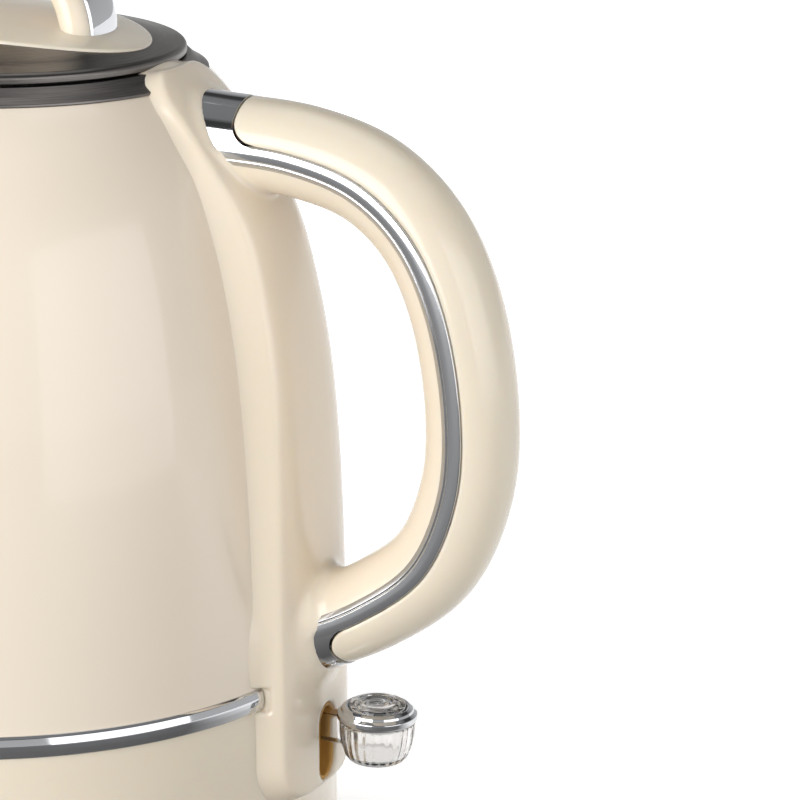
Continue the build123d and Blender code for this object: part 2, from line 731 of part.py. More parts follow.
def lid_plate():
    """Domed steel lid with a rounded rim."""
    low = COLLAR_TOP_Z + LID_GAP
    shoulder = LID_R - LID_RIM_ROUND
    inside = LID_R - 2 * LID_SHEET
    top = crown_arc(shoulder, 0)
    under = crown_arc(inside, -LID_SHEET)
    middle = LID_RIM_ROUND * (1 - cos(radians(45)))
    round_low = (LID_R, lid_height(shoulder) - LID_RIM_ROUND)
    rim = ThreePointArc(round_low, (LID_R - middle, lid_height(shoulder) - middle), top @ 0)
    wall = Polyline(under @ 0, (inside, low), (LID_R, low), round_low)
    solid = revolve(Plane.XZ * make_face([top, rim, wall, under, Line(top @ 1, under @ 1)]), Axis.Z)
    for x in (-ARCH_FOOT_X, ARCH_FOOT_X):
        solid = solid - cylinder_up(x, 0, SCREW_R, low, 240)
    return solid


def lid_inlay():
    """Oval cream plate on the lid that carries the arch."""
    oval = extrude(Pos(0, 0, 214) * Ellipse(INLAY_LENGTH_R, INLAY_WIDTH_R), 26)
    top = crown_arc(LID_R, INLAY_THICK)
    under = crown_arc(LID_R, 0)
    layer = make_face([top, under, Line(top @ 0, under @ 0), Line(top @ 1, under @ 1)])
    solid = revolve(Plane.XZ * layer, Axis.Z) & oval
    for x in (-ARCH_FOOT_X, ARCH_FOOT_X):
        solid = solid - cylinder_up(x, 0, SCREW_R, 214, 240)
    return solid


def arch_path():
    """Half ellipse that the lid's arch follows."""
    arch = EllipticalCenterArc((0, ARCH_FOOT_Z), ARCH_FOOT_X, ARCH_RISE, start_angle=0, arc_size=180)
    return Plane.XZ * arch


def arch_sweep(section):
    """Sweep a section, with +y towards the outside of the arch, along the arch."""
    path = arch_path()
    start = Plane(origin=path @ 0, x_dir=(0, -1, 0), z_dir=path % 0)
    return sweep(start * section, path=path)


def lid_handle():
    """Cream arch of the lid, with an oval section and a groove for its chrome line."""
    section = Ellipse(ARCH_WIDTH / 2, ARCH_THICK / 2) - arch_trim_section()
    solid = arch_sweep(section) - dome_solid(INLAY_THICK)
    for x in (-ARCH_FOOT_X, ARCH_FOOT_X):
        solid = solid - cylinder_up(x, 0, SCREW_R, 214, ARCH_FOOT_Z + 8)
    return solid


def arch_trim_section():
    """Curved strip along the outside of the arch's section."""
    proud = Ellipse(ARCH_WIDTH / 2 + ARCH_TRIM_PROUD, ARCH_THICK / 2 + ARCH_TRIM_PROUD)
    core = Ellipse(ARCH_WIDTH / 2 - ARCH_TRIM_DEEP, ARCH_THICK / 2 - ARCH_TRIM_DEEP)
    window = Pos(0, ARCH_THICK / 2) * Rectangle(ARCH_TRIM_WIDTH, ARCH_THICK)
    return (proud - core) & window


def lid_handle_trim():
    """Chrome line over the arch."""
    return arch_sweep(arch_trim_section()) - dome_solid(INLAY_THICK)


def lid_liner():
    """Moulded plug under the lid, with bosses for the arch's screws."""
    cup = tube(LINER_R - LINER_WALL, LINER_R, NECK_BOTTOM_Z, 224)
    floor = cylinder_up(0, 0, LINER_R, NECK_BOTTOM_Z, NECK_BOTTOM_Z + LINER_WALL)
    solid = cup + floor
    for x in (-ARCH_FOOT_X, ARCH_FOOT_X):
        solid = solid + cylinder_up(x, 0, LINER_BOSS_R, NECK_BOTTOM_Z, 226)
    solid = solid & dome_solid(-LID_SHEET)
    head_high = NECK_BOTTOM_Z + SCREW_HEAD_HEIGHT
    for x in (-ARCH_FOOT_X, ARCH_FOOT_X):
        solid = solid - cylinder_up(x, 0, SCREW_R, NECK_BOTTOM_Z, 230)
        solid = solid - cylinder_up(x, 0, SCREW_HEAD_R + 0.1, NECK_BOTTOM_Z - 1, head_high)
    return solid


def lid_seal():
    """Silicone ring round the lid's plug."""
    return tube(LINER_R, SEAL_R, SEAL_LOW_Z, SEAL_HIGH_Z)


def lid_screws():
    """Screws from the plug up into the arch's feet."""
    return screws([(-ARCH_FOOT_X, 0), (ARCH_FOOT_X, 0)], NECK_BOTTOM_Z, 25)


def base_top_cover():
    """Round cover of the power base, with a low ring that the jug stands on."""
    top = BASE_TOP_Z
    under = top - BASE_WALL
    solid = turned(
        (SOCKET_R + 1, under),
        (BASE_R - BASE_WALL - 1, under),
        (BASE_R - BASE_WALL, under - 2),
        (BASE_R - BASE_WALL, BASE_FLOOR_Z),
        (BASE_R, BASE_FLOOR_Z),
        (BASE_R, top - BASE_CORNER),
        (BASE_R - 2, top - 2),
        (BASE_R - BASE_CORNER, top),
        (SOCKET_R + 1, top),
    )
    ring_high = JUG_BASE_Z - REST_GAP
    solid = solid + tube(REST_RING_R - REST_RING_WIDTH, REST_RING_R, under + 1, ring_high)
    for x, y in around(4, BASE_SCREW_CIRCLE_R, 45):
        solid = solid + cylinder_up(x, y, 3.6, BASE_FLOOR_Z + BASE_WALL, under + 1)
        solid = solid - cylinder_up(x, y, SCREW_R, 0, 12)
    return solid - Pos(0, BASE_R, GLAND_Z) * Rot(90, 0, 0) * Cylinder(GLAND_R, 14)


def base_bottom_cover():
    """Floor of the power base."""
    solid = cylinder_up(0, 0, BASE_R - BASE_WALL, BASE_FLOOR_Z, BASE_FLOOR_Z + BASE_WALL)
    for x, y in around(4, BASE_SCREW_CIRCLE_R, 45):
        solid = solid - cylinder_up(x, y, SCREW_R, 0, 12)
        solid = solid - cylinder_up(x, y, SCREW_HEAD_R + 0.1, 0, BASE_FLOOR_Z + 1.2)
    return solid


def base_feet():
    """Rubber pads: four round the edge and one under the middle."""
    places = around(4, FOOT_CIRCLE_R) + [(0, 0)]
    return [cylinder_up(x, y, FOOT_PAD_R, 0, BASE_FLOOR_Z) for x, y in places]


def base_screws():
    """Screws that close the power base."""
    head_low = BASE_FLOOR_Z + 1.2 - SCREW_HEAD_HEIGHT
    return screws(around(4, BASE_SCREW_CIRCLE_R, 45), head_low, 11)


def base_connector():
    """Post of the round connector, with slots for the jug's pin and ring."""
    floor_z = BASE_FLOOR_Z + BASE_WALL
    flange = cylinder_up(0, 0, POST_FLANGE_R, floor_z, floor_z + 4)
    post = cylinder_up(0, 0, POST_R, floor_z, POST_TOP_Z)
    solid = flange + fillet(post.edges().sort_by(Axis.Z)[-1], 1.0)
    solid = solid - tube(*POST_RING_SLOT, POST_SLOT_FLOOR_Z, POST_TOP_Z + 1)
    return solid - cylinder_up(0, 0, POST_PIN_SLOT_R, PIN_SLOT_FLOOR_Z, POST_TOP_Z + 1)


def base_contacts():
    """Brass sleeves inside the post's slots."""
    slot_r = POST_RING_SLOT[1]
    ring = tube(slot_r - 0.6, slot_r, POST_SLOT_FLOOR_Z, CONTACT_TOP_Z)
    sleeve = tube(POST_PIN_SLOT_R - 0.8, POST_PIN_SLOT_R, PIN_SLOT_FLOOR_Z, CONTACT_TOP_Z)
    return [ring, sleeve]


def turn_ring():
    """Loose shutter ring round the post that turns with the jug."""
    return tube(POST_R + 0.6, SOCKET_R - 1, BASE_TOP_Z + 0.5, BASE_TOP_Z + 2.5)


def cord_gland():
    """Outlet for the power cord in the base's rim."""
    length = GLAND_FRONT_Y - GLAND_BACK_Y
    centre = Pos(0, (GLAND_FRONT_Y + GLAND_BACK_Y) / 2, GLAND_Z) * Rot(90, 0, 0)
    flange = Pos(0, BASE_R - BASE_WALL - 3, GLAND_Z) * Rot(90, 0, 0) * Cylinder(GLAND_R + 0.2, 1.6)
    return centre * Cylinder(GLAND_R, length) + flange - centre * Cylinder(GLAND_BORE_R, length + 2)


def cord_clamp():
    """Saddle that grips the cord inside the base."""
    saddle = Pos(0, CLAMP_Y, 6.8) * Box(20, 8, 6.6)
    return saddle - Pos(0, CLAMP_Y, GLAND_Z) * Rot(90, 0, 0) * Cylinder(GLAND_BORE_R, 10)


strip_solid = strip_block()

PARTS = [
    base_top_cover, base_bottom_cover, base_feet, base_screws, base_connector, base_contacts,
    cord_gland, cord_clamp, turn_ring, body_shell, spout, collar_ring, base_skirt, band_trim,
    jug_base_cover, jug_base_screws, heater_plate, plate_seal, heat_diffuser, heating_element,
    controller_body, controller_contacts, control_bimetals, control_screws, handle_mount,
    mount_studs, handle_trim, handle_cover, steam_duct, steam_grommet, switch_housing,
    switch_pin, indicator_lamp, steam_bimetal, filter_holder, filter_frame, filter_mesh,
    switch_lever, switch_ring, switch_lens, lid_plate, lid_inlay, lid_handle, lid_handle_trim,
    lid_liner, lid_seal, lid_screws,
]


def write_parts():
    """Build every part and write its STEP file."""
    os.makedirs("parts", exist_ok=True)
    for make in PARTS:
        shape = make()
        if isinstance(shape, list):
            shape = Compound(shape)
        export_step(shape, f"parts/{make.__name__}.step")


write_parts()
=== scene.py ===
"""Looks of a dome kettle on its power base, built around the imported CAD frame.

Lengths in this script are millimetres until new_piece() turns them into metres.
"""

import json
import math

import bpy
import bmesh
import numpy as np
from mathutils import Matrix, Vector


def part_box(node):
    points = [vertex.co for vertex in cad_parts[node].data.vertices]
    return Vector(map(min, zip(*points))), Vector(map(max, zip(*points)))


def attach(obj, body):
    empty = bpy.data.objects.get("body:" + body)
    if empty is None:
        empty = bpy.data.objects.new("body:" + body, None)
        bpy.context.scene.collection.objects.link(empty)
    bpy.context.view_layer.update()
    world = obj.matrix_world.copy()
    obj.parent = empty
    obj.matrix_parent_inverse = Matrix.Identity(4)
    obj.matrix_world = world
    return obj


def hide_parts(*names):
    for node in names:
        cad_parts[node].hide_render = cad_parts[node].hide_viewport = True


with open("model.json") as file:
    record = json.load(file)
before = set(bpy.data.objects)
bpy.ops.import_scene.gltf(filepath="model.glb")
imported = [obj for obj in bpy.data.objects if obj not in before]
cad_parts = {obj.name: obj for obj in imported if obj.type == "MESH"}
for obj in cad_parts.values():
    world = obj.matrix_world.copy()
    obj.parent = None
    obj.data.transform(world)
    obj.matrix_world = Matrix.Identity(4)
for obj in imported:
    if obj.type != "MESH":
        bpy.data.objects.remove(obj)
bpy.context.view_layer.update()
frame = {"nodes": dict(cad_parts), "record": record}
MM = 0.001


def extent(node):
    """Lowest and highest corner of a CAD node, in millimetres."""
    low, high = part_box(node)
    return np.array(low) / MM, np.array(high) / MM


# ---------------------------------------------------------------- sizes taken from the frame
skirt_low, skirt_high = extent("base_skirt")
shell_low, shell_high = extent("body_shell")
collar_low, collar_high = extent("collar_ring")
plate_low, plate_high = extent("lid_plate")
band_low, band_high = extent("band_trim")
mount_low, mount_high = extent("handle_mount")
knob_low, knob_high = extent("switch_ring")
_, lens_high = extent("switch_lens")
lever_low, _ = extent("switch_lever")
base_low, base_high = extent("base_top_cover")

# Jug wall: the same law as the CAD body.
FOOT_Z = skirt_low[2]
FOOT_R = skirt_high[0]
LEAN = 0.029
DOME_SPAN = 203.9
DOME_RISE_POWER = 3.8
DOME_ROOT_POWER = 3.58
JOINT_Z = shell_low[2]
SHELL_TOP_Z = shell_high[2]
SHELL_WALL = 0.9

# Back strip and the bow's centre line.
STRIP_LOW_Z = mount_low[2]
STRIP_HIGH_Z = mount_high[2]
STRIP_LOW_HALF = 20.8
STRIP_SPREAD = 0.0075
STRIP_NARROWING = 0.000242
STRIP_LOW_CORNER = 12.0
STRIP_HIGH_CORNER = 8.0
FLANK_START = 0.3
FLANK_SLOPE = 1.9
FLANK_STEEPNESS = 2.15
RIDGE_PROUD = 4.3
RIDGE_ROUND = 0.6
CREST_HEIGHTS = (43.0, 95.0, 150.0, 183.0, 194.0, 199.0, 206.0, 216.0)
CREST_PROUD = (6.2, 6.6, 8.4, 7.9, 5.0, 3.9, 3.5, 3.1)
UPPER_CUFF_PROUD = 4.3
LOWER_CUFF_PROUD = 8.8
CUFF_SLOPE = 0.75
CUFF_REACH = 24.0
STRIP_BACK_DEPTH = 2.0
BOW_POINTS = [
    (62.0, 201.0), (84.6, 199.8), (100.8, 195.0), (112.9, 184.9), (121.1, 169.5),
    (126.1, 146.0), (125.6, 126.0), (118.3, 107.4), (103.6, 94.9), (84.0, 84.8),
]
BOW_R = 10.7
TRIM_INNER = -3.4
TRIM_OUTER = 1.6
CREAM_OUTER = -0.8
BAND_END_Y = 19.2

# Slot for the switch, in the strip, and its sleeve, whose amber colour is painted shade of the
# slot's inside.
SLOT_MIDDLE_Z = 58.3
SLOT_HALF_STRAIGHT = 5.3
SLOT_R = 4.3
SLEEVE_INNER_R = 3.4


# ---------------------------------------------------------------- shape helpers
def body_radius(z):
    """Outer radius of the jug at height z."""
    climb = np.clip(np.asarray(z, float) - FOOT_Z, 0, DOME_SPAN - 0.01) / DOME_SPAN
    return (FOOT_R - LEAN * (np.asarray(z, float) - FOOT_Z)) * (
        1 - climb**DOME_RISE_POWER
    ) ** (1 / DOME_ROOT_POWER)


def body_normal(z):
    """Outward and upward parts of the jug wall's normal at height z."""
    slope = (body_radius(np.asarray(z) + 0.2) - body_radius(np.asarray(z) - 0.2)) / 0.4
    length = np.hypot(1, slope)
    return 1 / length, -slope / length


def rounded(corners, steps=6):
    """Outline through (r, z, fillet radius) corners, with each corner rounded."""
    points = []
    count = len(corners)
    for i, (x, y, radius) in enumerate(corners):
        here = np.array((x, y), float)
        if radius <= 0:
            points.append(here)
            continue
        before = np.array(corners[i - 1][:2], float) - here
        after = np.array(corners[(i + 1) % count][:2], float) - here
        before_length = np.linalg.norm(before)
        after_length = np.linalg.norm(after)
        before /= before_length
        after /= after_length
        half = math.acos(float(np.clip(before @ after, -1, 1))) / 2
        reach = min(radius / math.tan(half), 0.49 * before_length, 0.49 * after_length)
        radius = reach * math.tan(half)
        start, end = here + before * reach, here + after * reach
        centre = here + (before + after) / np.linalg.norm(before + after) * radius / math.sin(half)
        for k in range(steps + 1):
            share = k / steps
            arm = (start - centre) * (1 - share) + (end - centre) * share
            points.append(centre + arm / np.linalg.norm(arm) * radius)
    return np.array(points)


def new_piece(name, points, faces, smooth=True):
    """Object from millimetre points and faces, with shared corners merged."""
    mesh = bpy.data.meshes.new(name)
    mesh.from_pydata((np.asarray(points, float) * MM).tolist(), [], faces)
    work = bmesh.new()
    work.from_mesh(mesh)
    bmesh.ops.remove_doubles(work, verts=work.verts, dist=0.004 * MM)
    bmesh.ops.dissolve_degenerate(work, edges=work.edges, dist=0.002 * MM)
    bmesh.ops.recalc_face_normals(work, faces=work.faces)
    work.to_mesh(mesh)
    work.free()
    for polygon in mesh.polygons:
        polygon.use_smooth = smooth
    piece = bpy.data.objects.new(name, mesh)
    bpy.context.scene.collection.objects.link(piece)
    return piece


def grid_faces(rows, columns, close_rows=False, close_columns=False):
    """Quads of a grid of points stored row by row."""
    faces = []
    for i in range(rows if close_rows else rows - 1):
        for j in range(columns if close_columns else columns - 1):
            a = i * columns + j
            b = i * columns + (j + 1) % columns
            c = ((i + 1) % rows) * columns + (j + 1) % columns
            d = ((i + 1) % rows) * columns + j
            faces.append((a, b, c, d))
    return faces


def tube_faces(rows, columns):
    """Quads of a closed section carried from the first row to the last, with both ends capped."""
    faces = grid_faces(rows, columns, close_columns=True)
    faces.append(tuple(reversed(range(columns))))
    faces.append(tuple((rows - 1) * columns + j for j in range(columns)))
    return faces


def patch_faces(rows, columns):
    """Quads of rows that run out and back round a sheet, with its two side edges capped."""
    faces = grid_faces(rows, columns, close_rows=True)
    faces.append(tuple(i * columns for i in range(rows)))
    faces.append(tuple((i + 1) * columns - 1 for i in reversed(range(rows))))
    return faces


def lathe(name, outline, turns=288, centre=(0, 0), start=0.0, sweep=360.0):
    """Solid turned about a vertical axis from an outline of (radius, height) points."""
    outline = np.asarray(outline, float)
    whole = sweep >= 360
    count = turns if whole else turns + 1
    angle = np.radians(start + sweep * np.arange(count) / turns)
    ring = np.stack([np.cos(angle), np.sin(angle)], -1)
    flat = outline[:, None, 0, None] * ring[None] + np.array(centre)
    height = np.repeat(outline[:, None, 1, None], count, 1)
    points = np.concatenate([flat, height], -1).reshape(-1, 3)
    if whole:
        faces = grid_faces(len(outline), count, close_rows=True, close_columns=True)
    else:
        faces = patch_faces(len(outline), count)
    return new_piece(name, points, faces)


def crease(piece, degrees=35.0):
    """Keep edges sharper than an angle sharp, so that flat faces stay flat."""
    piece.data.set_sharp_from_angle(angle=math.radians(degrees))
    return piece


def settle(piece, body, slot, materials, *nodes):
    """Give a piece its materials and body and hide the CAD nodes that it stands for; the slot
    argument is not used.
    """
    for material in materials if isinstance(materials, (list, tuple)) else [materials]:
        piece.data.materials.append(material)
    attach(piece, body)
    if nodes:
        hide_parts(*nodes)
    return piece


def catmull(points, count):
    """Even samples on a smooth curve through points, by chord length."""
    points = np.asarray(points, float)
    padded = np.vstack([2 * points[0] - points[1], points, 2 * points[-1] - points[-2]])
    samples = []
    for i in range(1, len(padded) - 2):
        p0, p1, p2, p3 = padded[i - 1 : i + 3]
        t0, t1, t2, t3 = np.cumsum(
            [0.0] + [np.linalg.norm(b - a) ** 0.5 for a, b in ((p0, p1), (p1, p2), (p2, p3))]
        )
        for t in np.linspace(t1, t2, 60, endpoint=False):
            a1 = (t1 - t) / (t1 - t0) * p0 + (t - t0) / (t1 - t0) * p1
            a2 = (t2 - t) / (t2 - t1) * p1 + (t - t1) / (t2 - t1) * p2
            a3 = (t3 - t) / (t3 - t2) * p2 + (t - t2) / (t3 - t2) * p3
            b1 = (t2 - t) / (t2 - t0) * a1 + (t - t0) / (t2 - t0) * a2
            b2 = (t3 - t) / (t3 - t1) * a2 + (t - t1) / (t3 - t1) * a3
            samples.append((t2 - t) / (t2 - t1) * b1 + (t - t1) / (t2 - t1) * b2)
    samples.append(points[-1])
    samples = np.array(samples)
    for _ in range(30):
        samples[1:-1] = 0.5 * samples[1:-1] + 0.25 * (samples[:-2] + samples[2:])
    travel = np.concatenate([[0], np.cumsum(np.linalg.norm(np.diff(samples, axis=0), axis=1))])
    even = np.linspace(0, travel[-1], count)
    return np.stack([np.interp(even, travel, samples[:, k]) for k in range(samples.shape[1])], -1)


class Bow:
    """The handle's centre line with its outward direction, in the XZ plane."""

    def __init__(self, count=400):
        self.line = catmull(BOW_POINTS, count)
        self.length = np.linalg.norm(np.diff(self.line, axis=0), axis=1).sum()
        self.along = np.linspace(0, self.length, count)
        tangent = np.gradient(self.line, axis=0)
        tangent /= np.linalg.norm(tangent, axis=1)[:, None]
        for _ in range(40):
            tangent[1:-1] = 0.5 * tangent[1:-1] + 0.25 * (tangent[:-2] + tangent[2:])
            tangent /= np.linalg.norm(tangent, axis=1)[:, None]
        self.out = np.stack([-tangent[:, 1], tangent[:, 0]], -1)
        self.tangent = tangent

    def at(self, travel):
        """Centre and outward direction at a distance along the line."""
        centre = np.stack([np.interp(travel, self.along, self.line[:, k]) for k in (0, 1)], -1)
        centre += np.minimum(travel, 0)[..., None] * self.tangent[0]
        centre += np.maximum(travel - self.length, 0)[..., None] * self.tangent[-1]
        out = np.stack([np.interp(travel, self.along, self.out[:, k]) for k in (0, 1)], -1)
        return centre, out / np.linalg.norm(out, axis=-1, keepdims=True)

    def point(self, travel, outward, side):
        """Points at a distance along, outward and sideways from the line."""
        centre, out = self.at(np.asarray(travel, float))
        x = centre[..., 0] + out[..., 0] * outward
        z = centre[..., 1] + out[..., 1] * outward
        return np.stack([x, np.broadcast_to(side, x.shape), z], -1)

    def measure(self, points):
        """Distance along, outward and sideways offsets of points."""
        flat = points[:, [0, 2]]
        coarse = np.arange(0, len(self.line), 10)
        near = np.zeros(len(points), int)
        for low in range(0, len(points), 20000):
            some = flat[low : low + 20000]
            gap = ((some[:, None, :] - self.line[None, coarse]) ** 2).sum(-1)
            near[low : low + 20000] = coarse[gap.argmin(1)]
        for step in (5, 2, 1):
            choice = np.clip(near[:, None] + step * np.arange(-2, 3), 0, len(self.line) - 1)
            gap = ((flat[:, None, :] - self.line[choice]) ** 2).sum(-1)
            near = choice[np.arange(len(near)), gap.argmin(1)]
        offset = flat - self.line[near]
        travel = self.along[near] + (offset * self.tangent[near]).sum(-1)
        return travel, (offset * self.out[near]).sum(-1), points[:, 1]


bow = Bow()
UPPER_PAD_START = 7.4
LOWER_PAD_END = bow.length - 10.9
ROOT_DEPTH = 8.0
PAD_CORNER = 6.0


# ---------------------------------------------------------------- materials
class Nodes:
    """Small builder for a procedural material on a Principled shader."""

    def __init__(self, name, **sockets):
        self.material = bpy.data.materials.new(name)
        self.material.use_nodes = True
        self.tree = self.material.node_tree
        self.shader = self.tree.nodes["Principled BSDF"]
        for socket, value in sockets.items():
            self.shader.inputs[socket.replace("_", " ")].default_value = value

    def add(self, kind, **sockets):
        """Add a node, set its plain inputs and link those given as node outputs."""
        node = self.tree.nodes.new(kind)
        for socket, value in sockets.items():
            self.put(node, socket.replace("_", " "), value)
        return node

    def put(self, node, socket, value):
        """Set or link one input."""
        if isinstance(value, bpy.types.NodeSocket):
            self.tree.links.new(value, node.inputs[socket])
        else:
            node.inputs[socket].default_value = value

    def place(self, scale=(1, 1, 1)):
        """Object coordinates, scaled."""
        source = self.add("ShaderNodeTexCoord")
        mapping = self.add("ShaderNodeMapping", Vector=source.outputs["Object"])
        mapping.inputs["Scale"].default_value = scale
        return mapping.outputs["Vector"]

    def noise(self, scale, detail=2.0, roughness=0.5, vector=None):
        """Noise value between about 0.3 and 0.7."""
        node = self.add("ShaderNodeTexNoise", Scale=scale, Detail=detail, Roughness=roughness)
        self.put(node, "Vector", vector or self.place())
        return node.outputs["Fac"]

    def between(self, value, low, high, from_low=0.3, from_high=0.7):
        """Map a value to a range."""
        node = self.add("ShaderNodeMapRange", Value=value)
        node.inputs["From Min"].default_value = from_low
        node.inputs["From Max"].default_value = from_high
        node.inputs["To Min"].default_value = low
        node.inputs["To Max"].default_value = high
        return node.outputs["Result"]

    def math(self, operation, *values):
        """One arithmetic step on numbers or node outputs."""
        node = self.add("ShaderNodeMath")
        node.operation = operation
        for k, value in enumerate(values):
            self.put(node, k, value)
        return node.outputs[0]

    def mix(self, factor, first, second):
        """Blend two colours."""
        node = self.tree.nodes.new("ShaderNodeMix")
        node.data_type = "RGBA"
        self.put(node, "Factor", factor)
        for slot, colour in ((6, first), (7, second)):
            if isinstance(colour, bpy.types.NodeSocket):
                self.tree.links.new(colour, node.inputs[slot])
            else:
                node.inputs[slot].default_value = (*colour, 1)
        return node.outputs[2]

    def bump(self, height, strength, distance_mm):
        """Drive the shader's normal from a height."""
        node = self.add("ShaderNodeBump", Height=height, Strength=strength)
        node.inputs["Distance"].default_value = distance_mm * MM
        self.tree.links.new(node.outputs["Normal"], self.shader.inputs["Normal"])

    def drive(self, socket, value):
        """Link a value or colour to the shader."""
        self.tree.links.new(value, self.shader.inputs[socket])


def cream_enamel():
    """Gloss cream paint over steel, with the faint orange peel of a sprayed coat."""
    made = Nodes("cream_enamel", Roughness=0.22, IOR=1.5, Coat_Weight=0.55, Coat_Roughness=0.05)
    shade = made.between(made.noise(9, 3), 0, 1)
    made.drive("Base Color", made.mix(shade, (0.85, 0.748, 0.618), (0.87, 0.768, 0.640)))
    made.drive("Roughness", made.between(made.noise(22, 4), 0.20, 0.27))
    made.bump(made.noise(420, 2), 0.05, 0.05)
    return made.material


def cream_plastic():
    """Gloss cream moulding, a little warmer and more translucent than the paint."""
    made = Nodes(
        "cream_plastic", Roughness=0.2, IOR=1.5, Coat_Weight=0.25, Coat_Roughness=0.06,
        Subsurface_Weight=0.22, Subsurface_Scale=0.004,
    )
    made.shader.inputs["Subsurface Radius"].default_value = (1.0, 0.62, 0.32)
    shade = made.between(made.noise(11, 3), 0, 1)
    made.drive("Base Color", made.mix(shade, (0.84, 0.735, 0.590), (0.86, 0.755, 0.610)))
    made.drive("Roughness", made.between(made.noise(30, 4), 0.17, 0.26))
    made.bump(made.noise(300, 2), 0.04, 0.05)
    return made.material


def chrome():
    """Plated trim with faint handling marks."""
    made = Nodes("chrome_trim", Metallic=1.0, Roughness=0.06)
    shade = made.between(made.noise(14), 0, 1)
    made.drive("Base Color", made.mix(shade, (0.62, 0.63, 0.65), (0.68, 0.69, 0.71)))
    made.drive("Roughness", made.between(made.noise(60, 5), 0.035, 0.09))
    return made.material


# Noise cells of the brushed streaks: per radian round the axis, and per metre across it.
STREAKS_ROUND = 5.0
STREAKS_ACROSS = 5200.0


def brushed_steel(name, dark, light, roughness):
    """Steel brushed round its axis: fine streaks that follow circles."""
    made = Nodes(name, Metallic=1.0, Anisotropic=0.55)
    source = made.add("ShaderNodeTexCoord")
    parts = made.add("ShaderNodeSeparateXYZ", Vector=source.outputs["Object"])
    east, north = parts.outputs["X"], parts.outputs["Y"]
    square = made.math("ADD", made.math("POWER", east, 2), made.math("POWER", north, 2))
    streak = made.add(
        "ShaderNodeCombineXYZ",
        X=made.math("MULTIPLY", made.math("ARCTAN2", north, east), STREAKS_ROUND),
        Y=made.math("MULTIPLY", made.math("SQRT", square), STREAKS_ACROSS),
        Z=made.math("MULTIPLY", parts.outputs["Z"], STREAKS_ACROSS),
    )
    fine = made.noise(1.0, 3, 0.6, streak.outputs[0])
    cloudy = made.noise(30, 3)
    made.drive("Base Color", made.mix(made.between(fine, 0, 1), dark, light))
    made.drive("Roughness", made.between(cloudy, roughness - 0.05, roughness + 0.06))
    made.bump(fine, 0.12, 0.02)
    return made.material


def clear_plastic():
    """Clear moulding of the switch."""
    made = Nodes("clear_plastic", Transmission_Weight=1.0, IOR=1.46)
    made.shader.inputs["Base Color"].default_value = (0.93, 0.92, 0.91, 1)
    made.drive("Roughness", made.between(made.noise(80), 0.02, 0.06))
    return made.material


def plain(name, colour, roughness, metallic=0.0, grain=200.0, bump=0.1):
    """Moulded or cast surface with a fine grain."""
    made = Nodes(name, Metallic=metallic)
    darker = tuple(c * 0.86 for c in colour)
    made.drive("Base Color", made.mix(made.between(made.noise(grain / 8, 3), 0, 1), darker, colour))
    made.drive("Roughness", made.between(made.noise(grain / 4), roughness - 0.05, roughness + 0.05))
    made.bump(made.noise(grain * 6, 2), bump, 0.05)
    return made.material


ENAMEL = cream_enamel()
CREAM = cream_plastic()
CHROME = chrome()
BRUSHED = brushed_steel("brushed_lid", (0.12, 0.112, 0.106), (0.21, 0.198, 0.190), 0.32)
STEEL = brushed_steel("plain_steel", (0.55, 0.54, 0.53), (0.68, 0.67, 0.66), 0.30)
CLEAR = clear_plastic()
# Amber here is painted shade: the deep warm shade inside the cream switch slot, given to the sleeve
# that lines it.
SLOT_SHADE_AMBER = plain("amber_plastic", (0.72, 0.40, 0.10), 0.35)
DARK = plain("dark_plastic", (0.035, 0.035, 0.037), 0.45)
GREY = plain("grey_plastic", (0.42, 0.42, 0.41), 0.45)
ALUMINIUM = plain("aluminium_disc", (0.70, 0.70, 0.71), 0.38, metallic=1.0)
BRASS = plain("contact_brass", (0.72, 0.53, 0.24), 0.28, metallic=1.0)
SILICONE = plain("silicone", (0.60, 0.58, 0.54), 0.6)
RUBBER = plain("foot_rubber", (0.05, 0.05, 0.05), 0.75, bump=0.25)
SCREW = plain("screw_steel", (0.52, 0.52, 0.53), 0.3, metallic=1.0)
SLOT_MATERIALS = {
    "cream_enamel": ENAMEL, "cream_plastic": CREAM, "chrome_trim": CHROME,
    "brushed_lid": BRUSHED, "plain_steel": STEEL, "clear_plastic": CLEAR,
    "amber_plastic": SLOT_SHADE_AMBER, "dark_plastic": DARK, "grey_plastic": GREY,
    "aluminium_disc": ALUMINIUM, "contact_brass": BRASS, "silicone": SILICONE,
    "foot_rubber": RUBBER, "screw_steel": SCREW,
}


def dress_cad_nodes():
    """Give every CAD node the material of its slot."""
    for entry in frame["record"]["subparts"]:
        node = frame["nodes"][entry["node"]]
        node.data.materials.clear()
        node.data.materials.append(SLOT_MATERIALS[entry["material_slot"]])


# ---------------------------------------------------------------- jug
def jug_body():
    """Painted jug: outer paint and bare steel inside."""
    heights = np.linspace(JOINT_Z, SHELL_TOP_Z, 90)
    outside = np.stack([body_radius(heights), heights], -1)
    slope_r, slope_z = body_normal(heights)
    inside = outside - SHELL_WALL * np.stack([slope_r, slope_z], -1)
    inside[0, 1] = JOINT_Z
    piece = lathe("jug_body", np.vstack([outside, inside[::-1]]))
    piece.data.materials.append(ENAMEL)
    piece.data.materials.append(STEEL)
    for polygon in piece.data.polygons:
        centre = np.array(polygon.center) / MM
        radial = math.hypot(centre[0], centre[1])
        if radial < float(body_radius(centre[2])) - 0.4 * SHELL_WALL:
            polygon.material_index = 1
    cutter = spout_cutter()
    cut = piece.modifiers.new("hole", "BOOLEAN")
    cut.object = cutter
    cut.operation = "DIFFERENCE"
    cut.solver = "EXACT"
    bpy.context.view_layer.objects.active = piece
    bpy.ops.object.modifier_apply(modifier=cut.name)
    bpy.data.objects.remove(cutter)
    crease(piece, 30)
    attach(piece, "jug")
    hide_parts("body_shell")


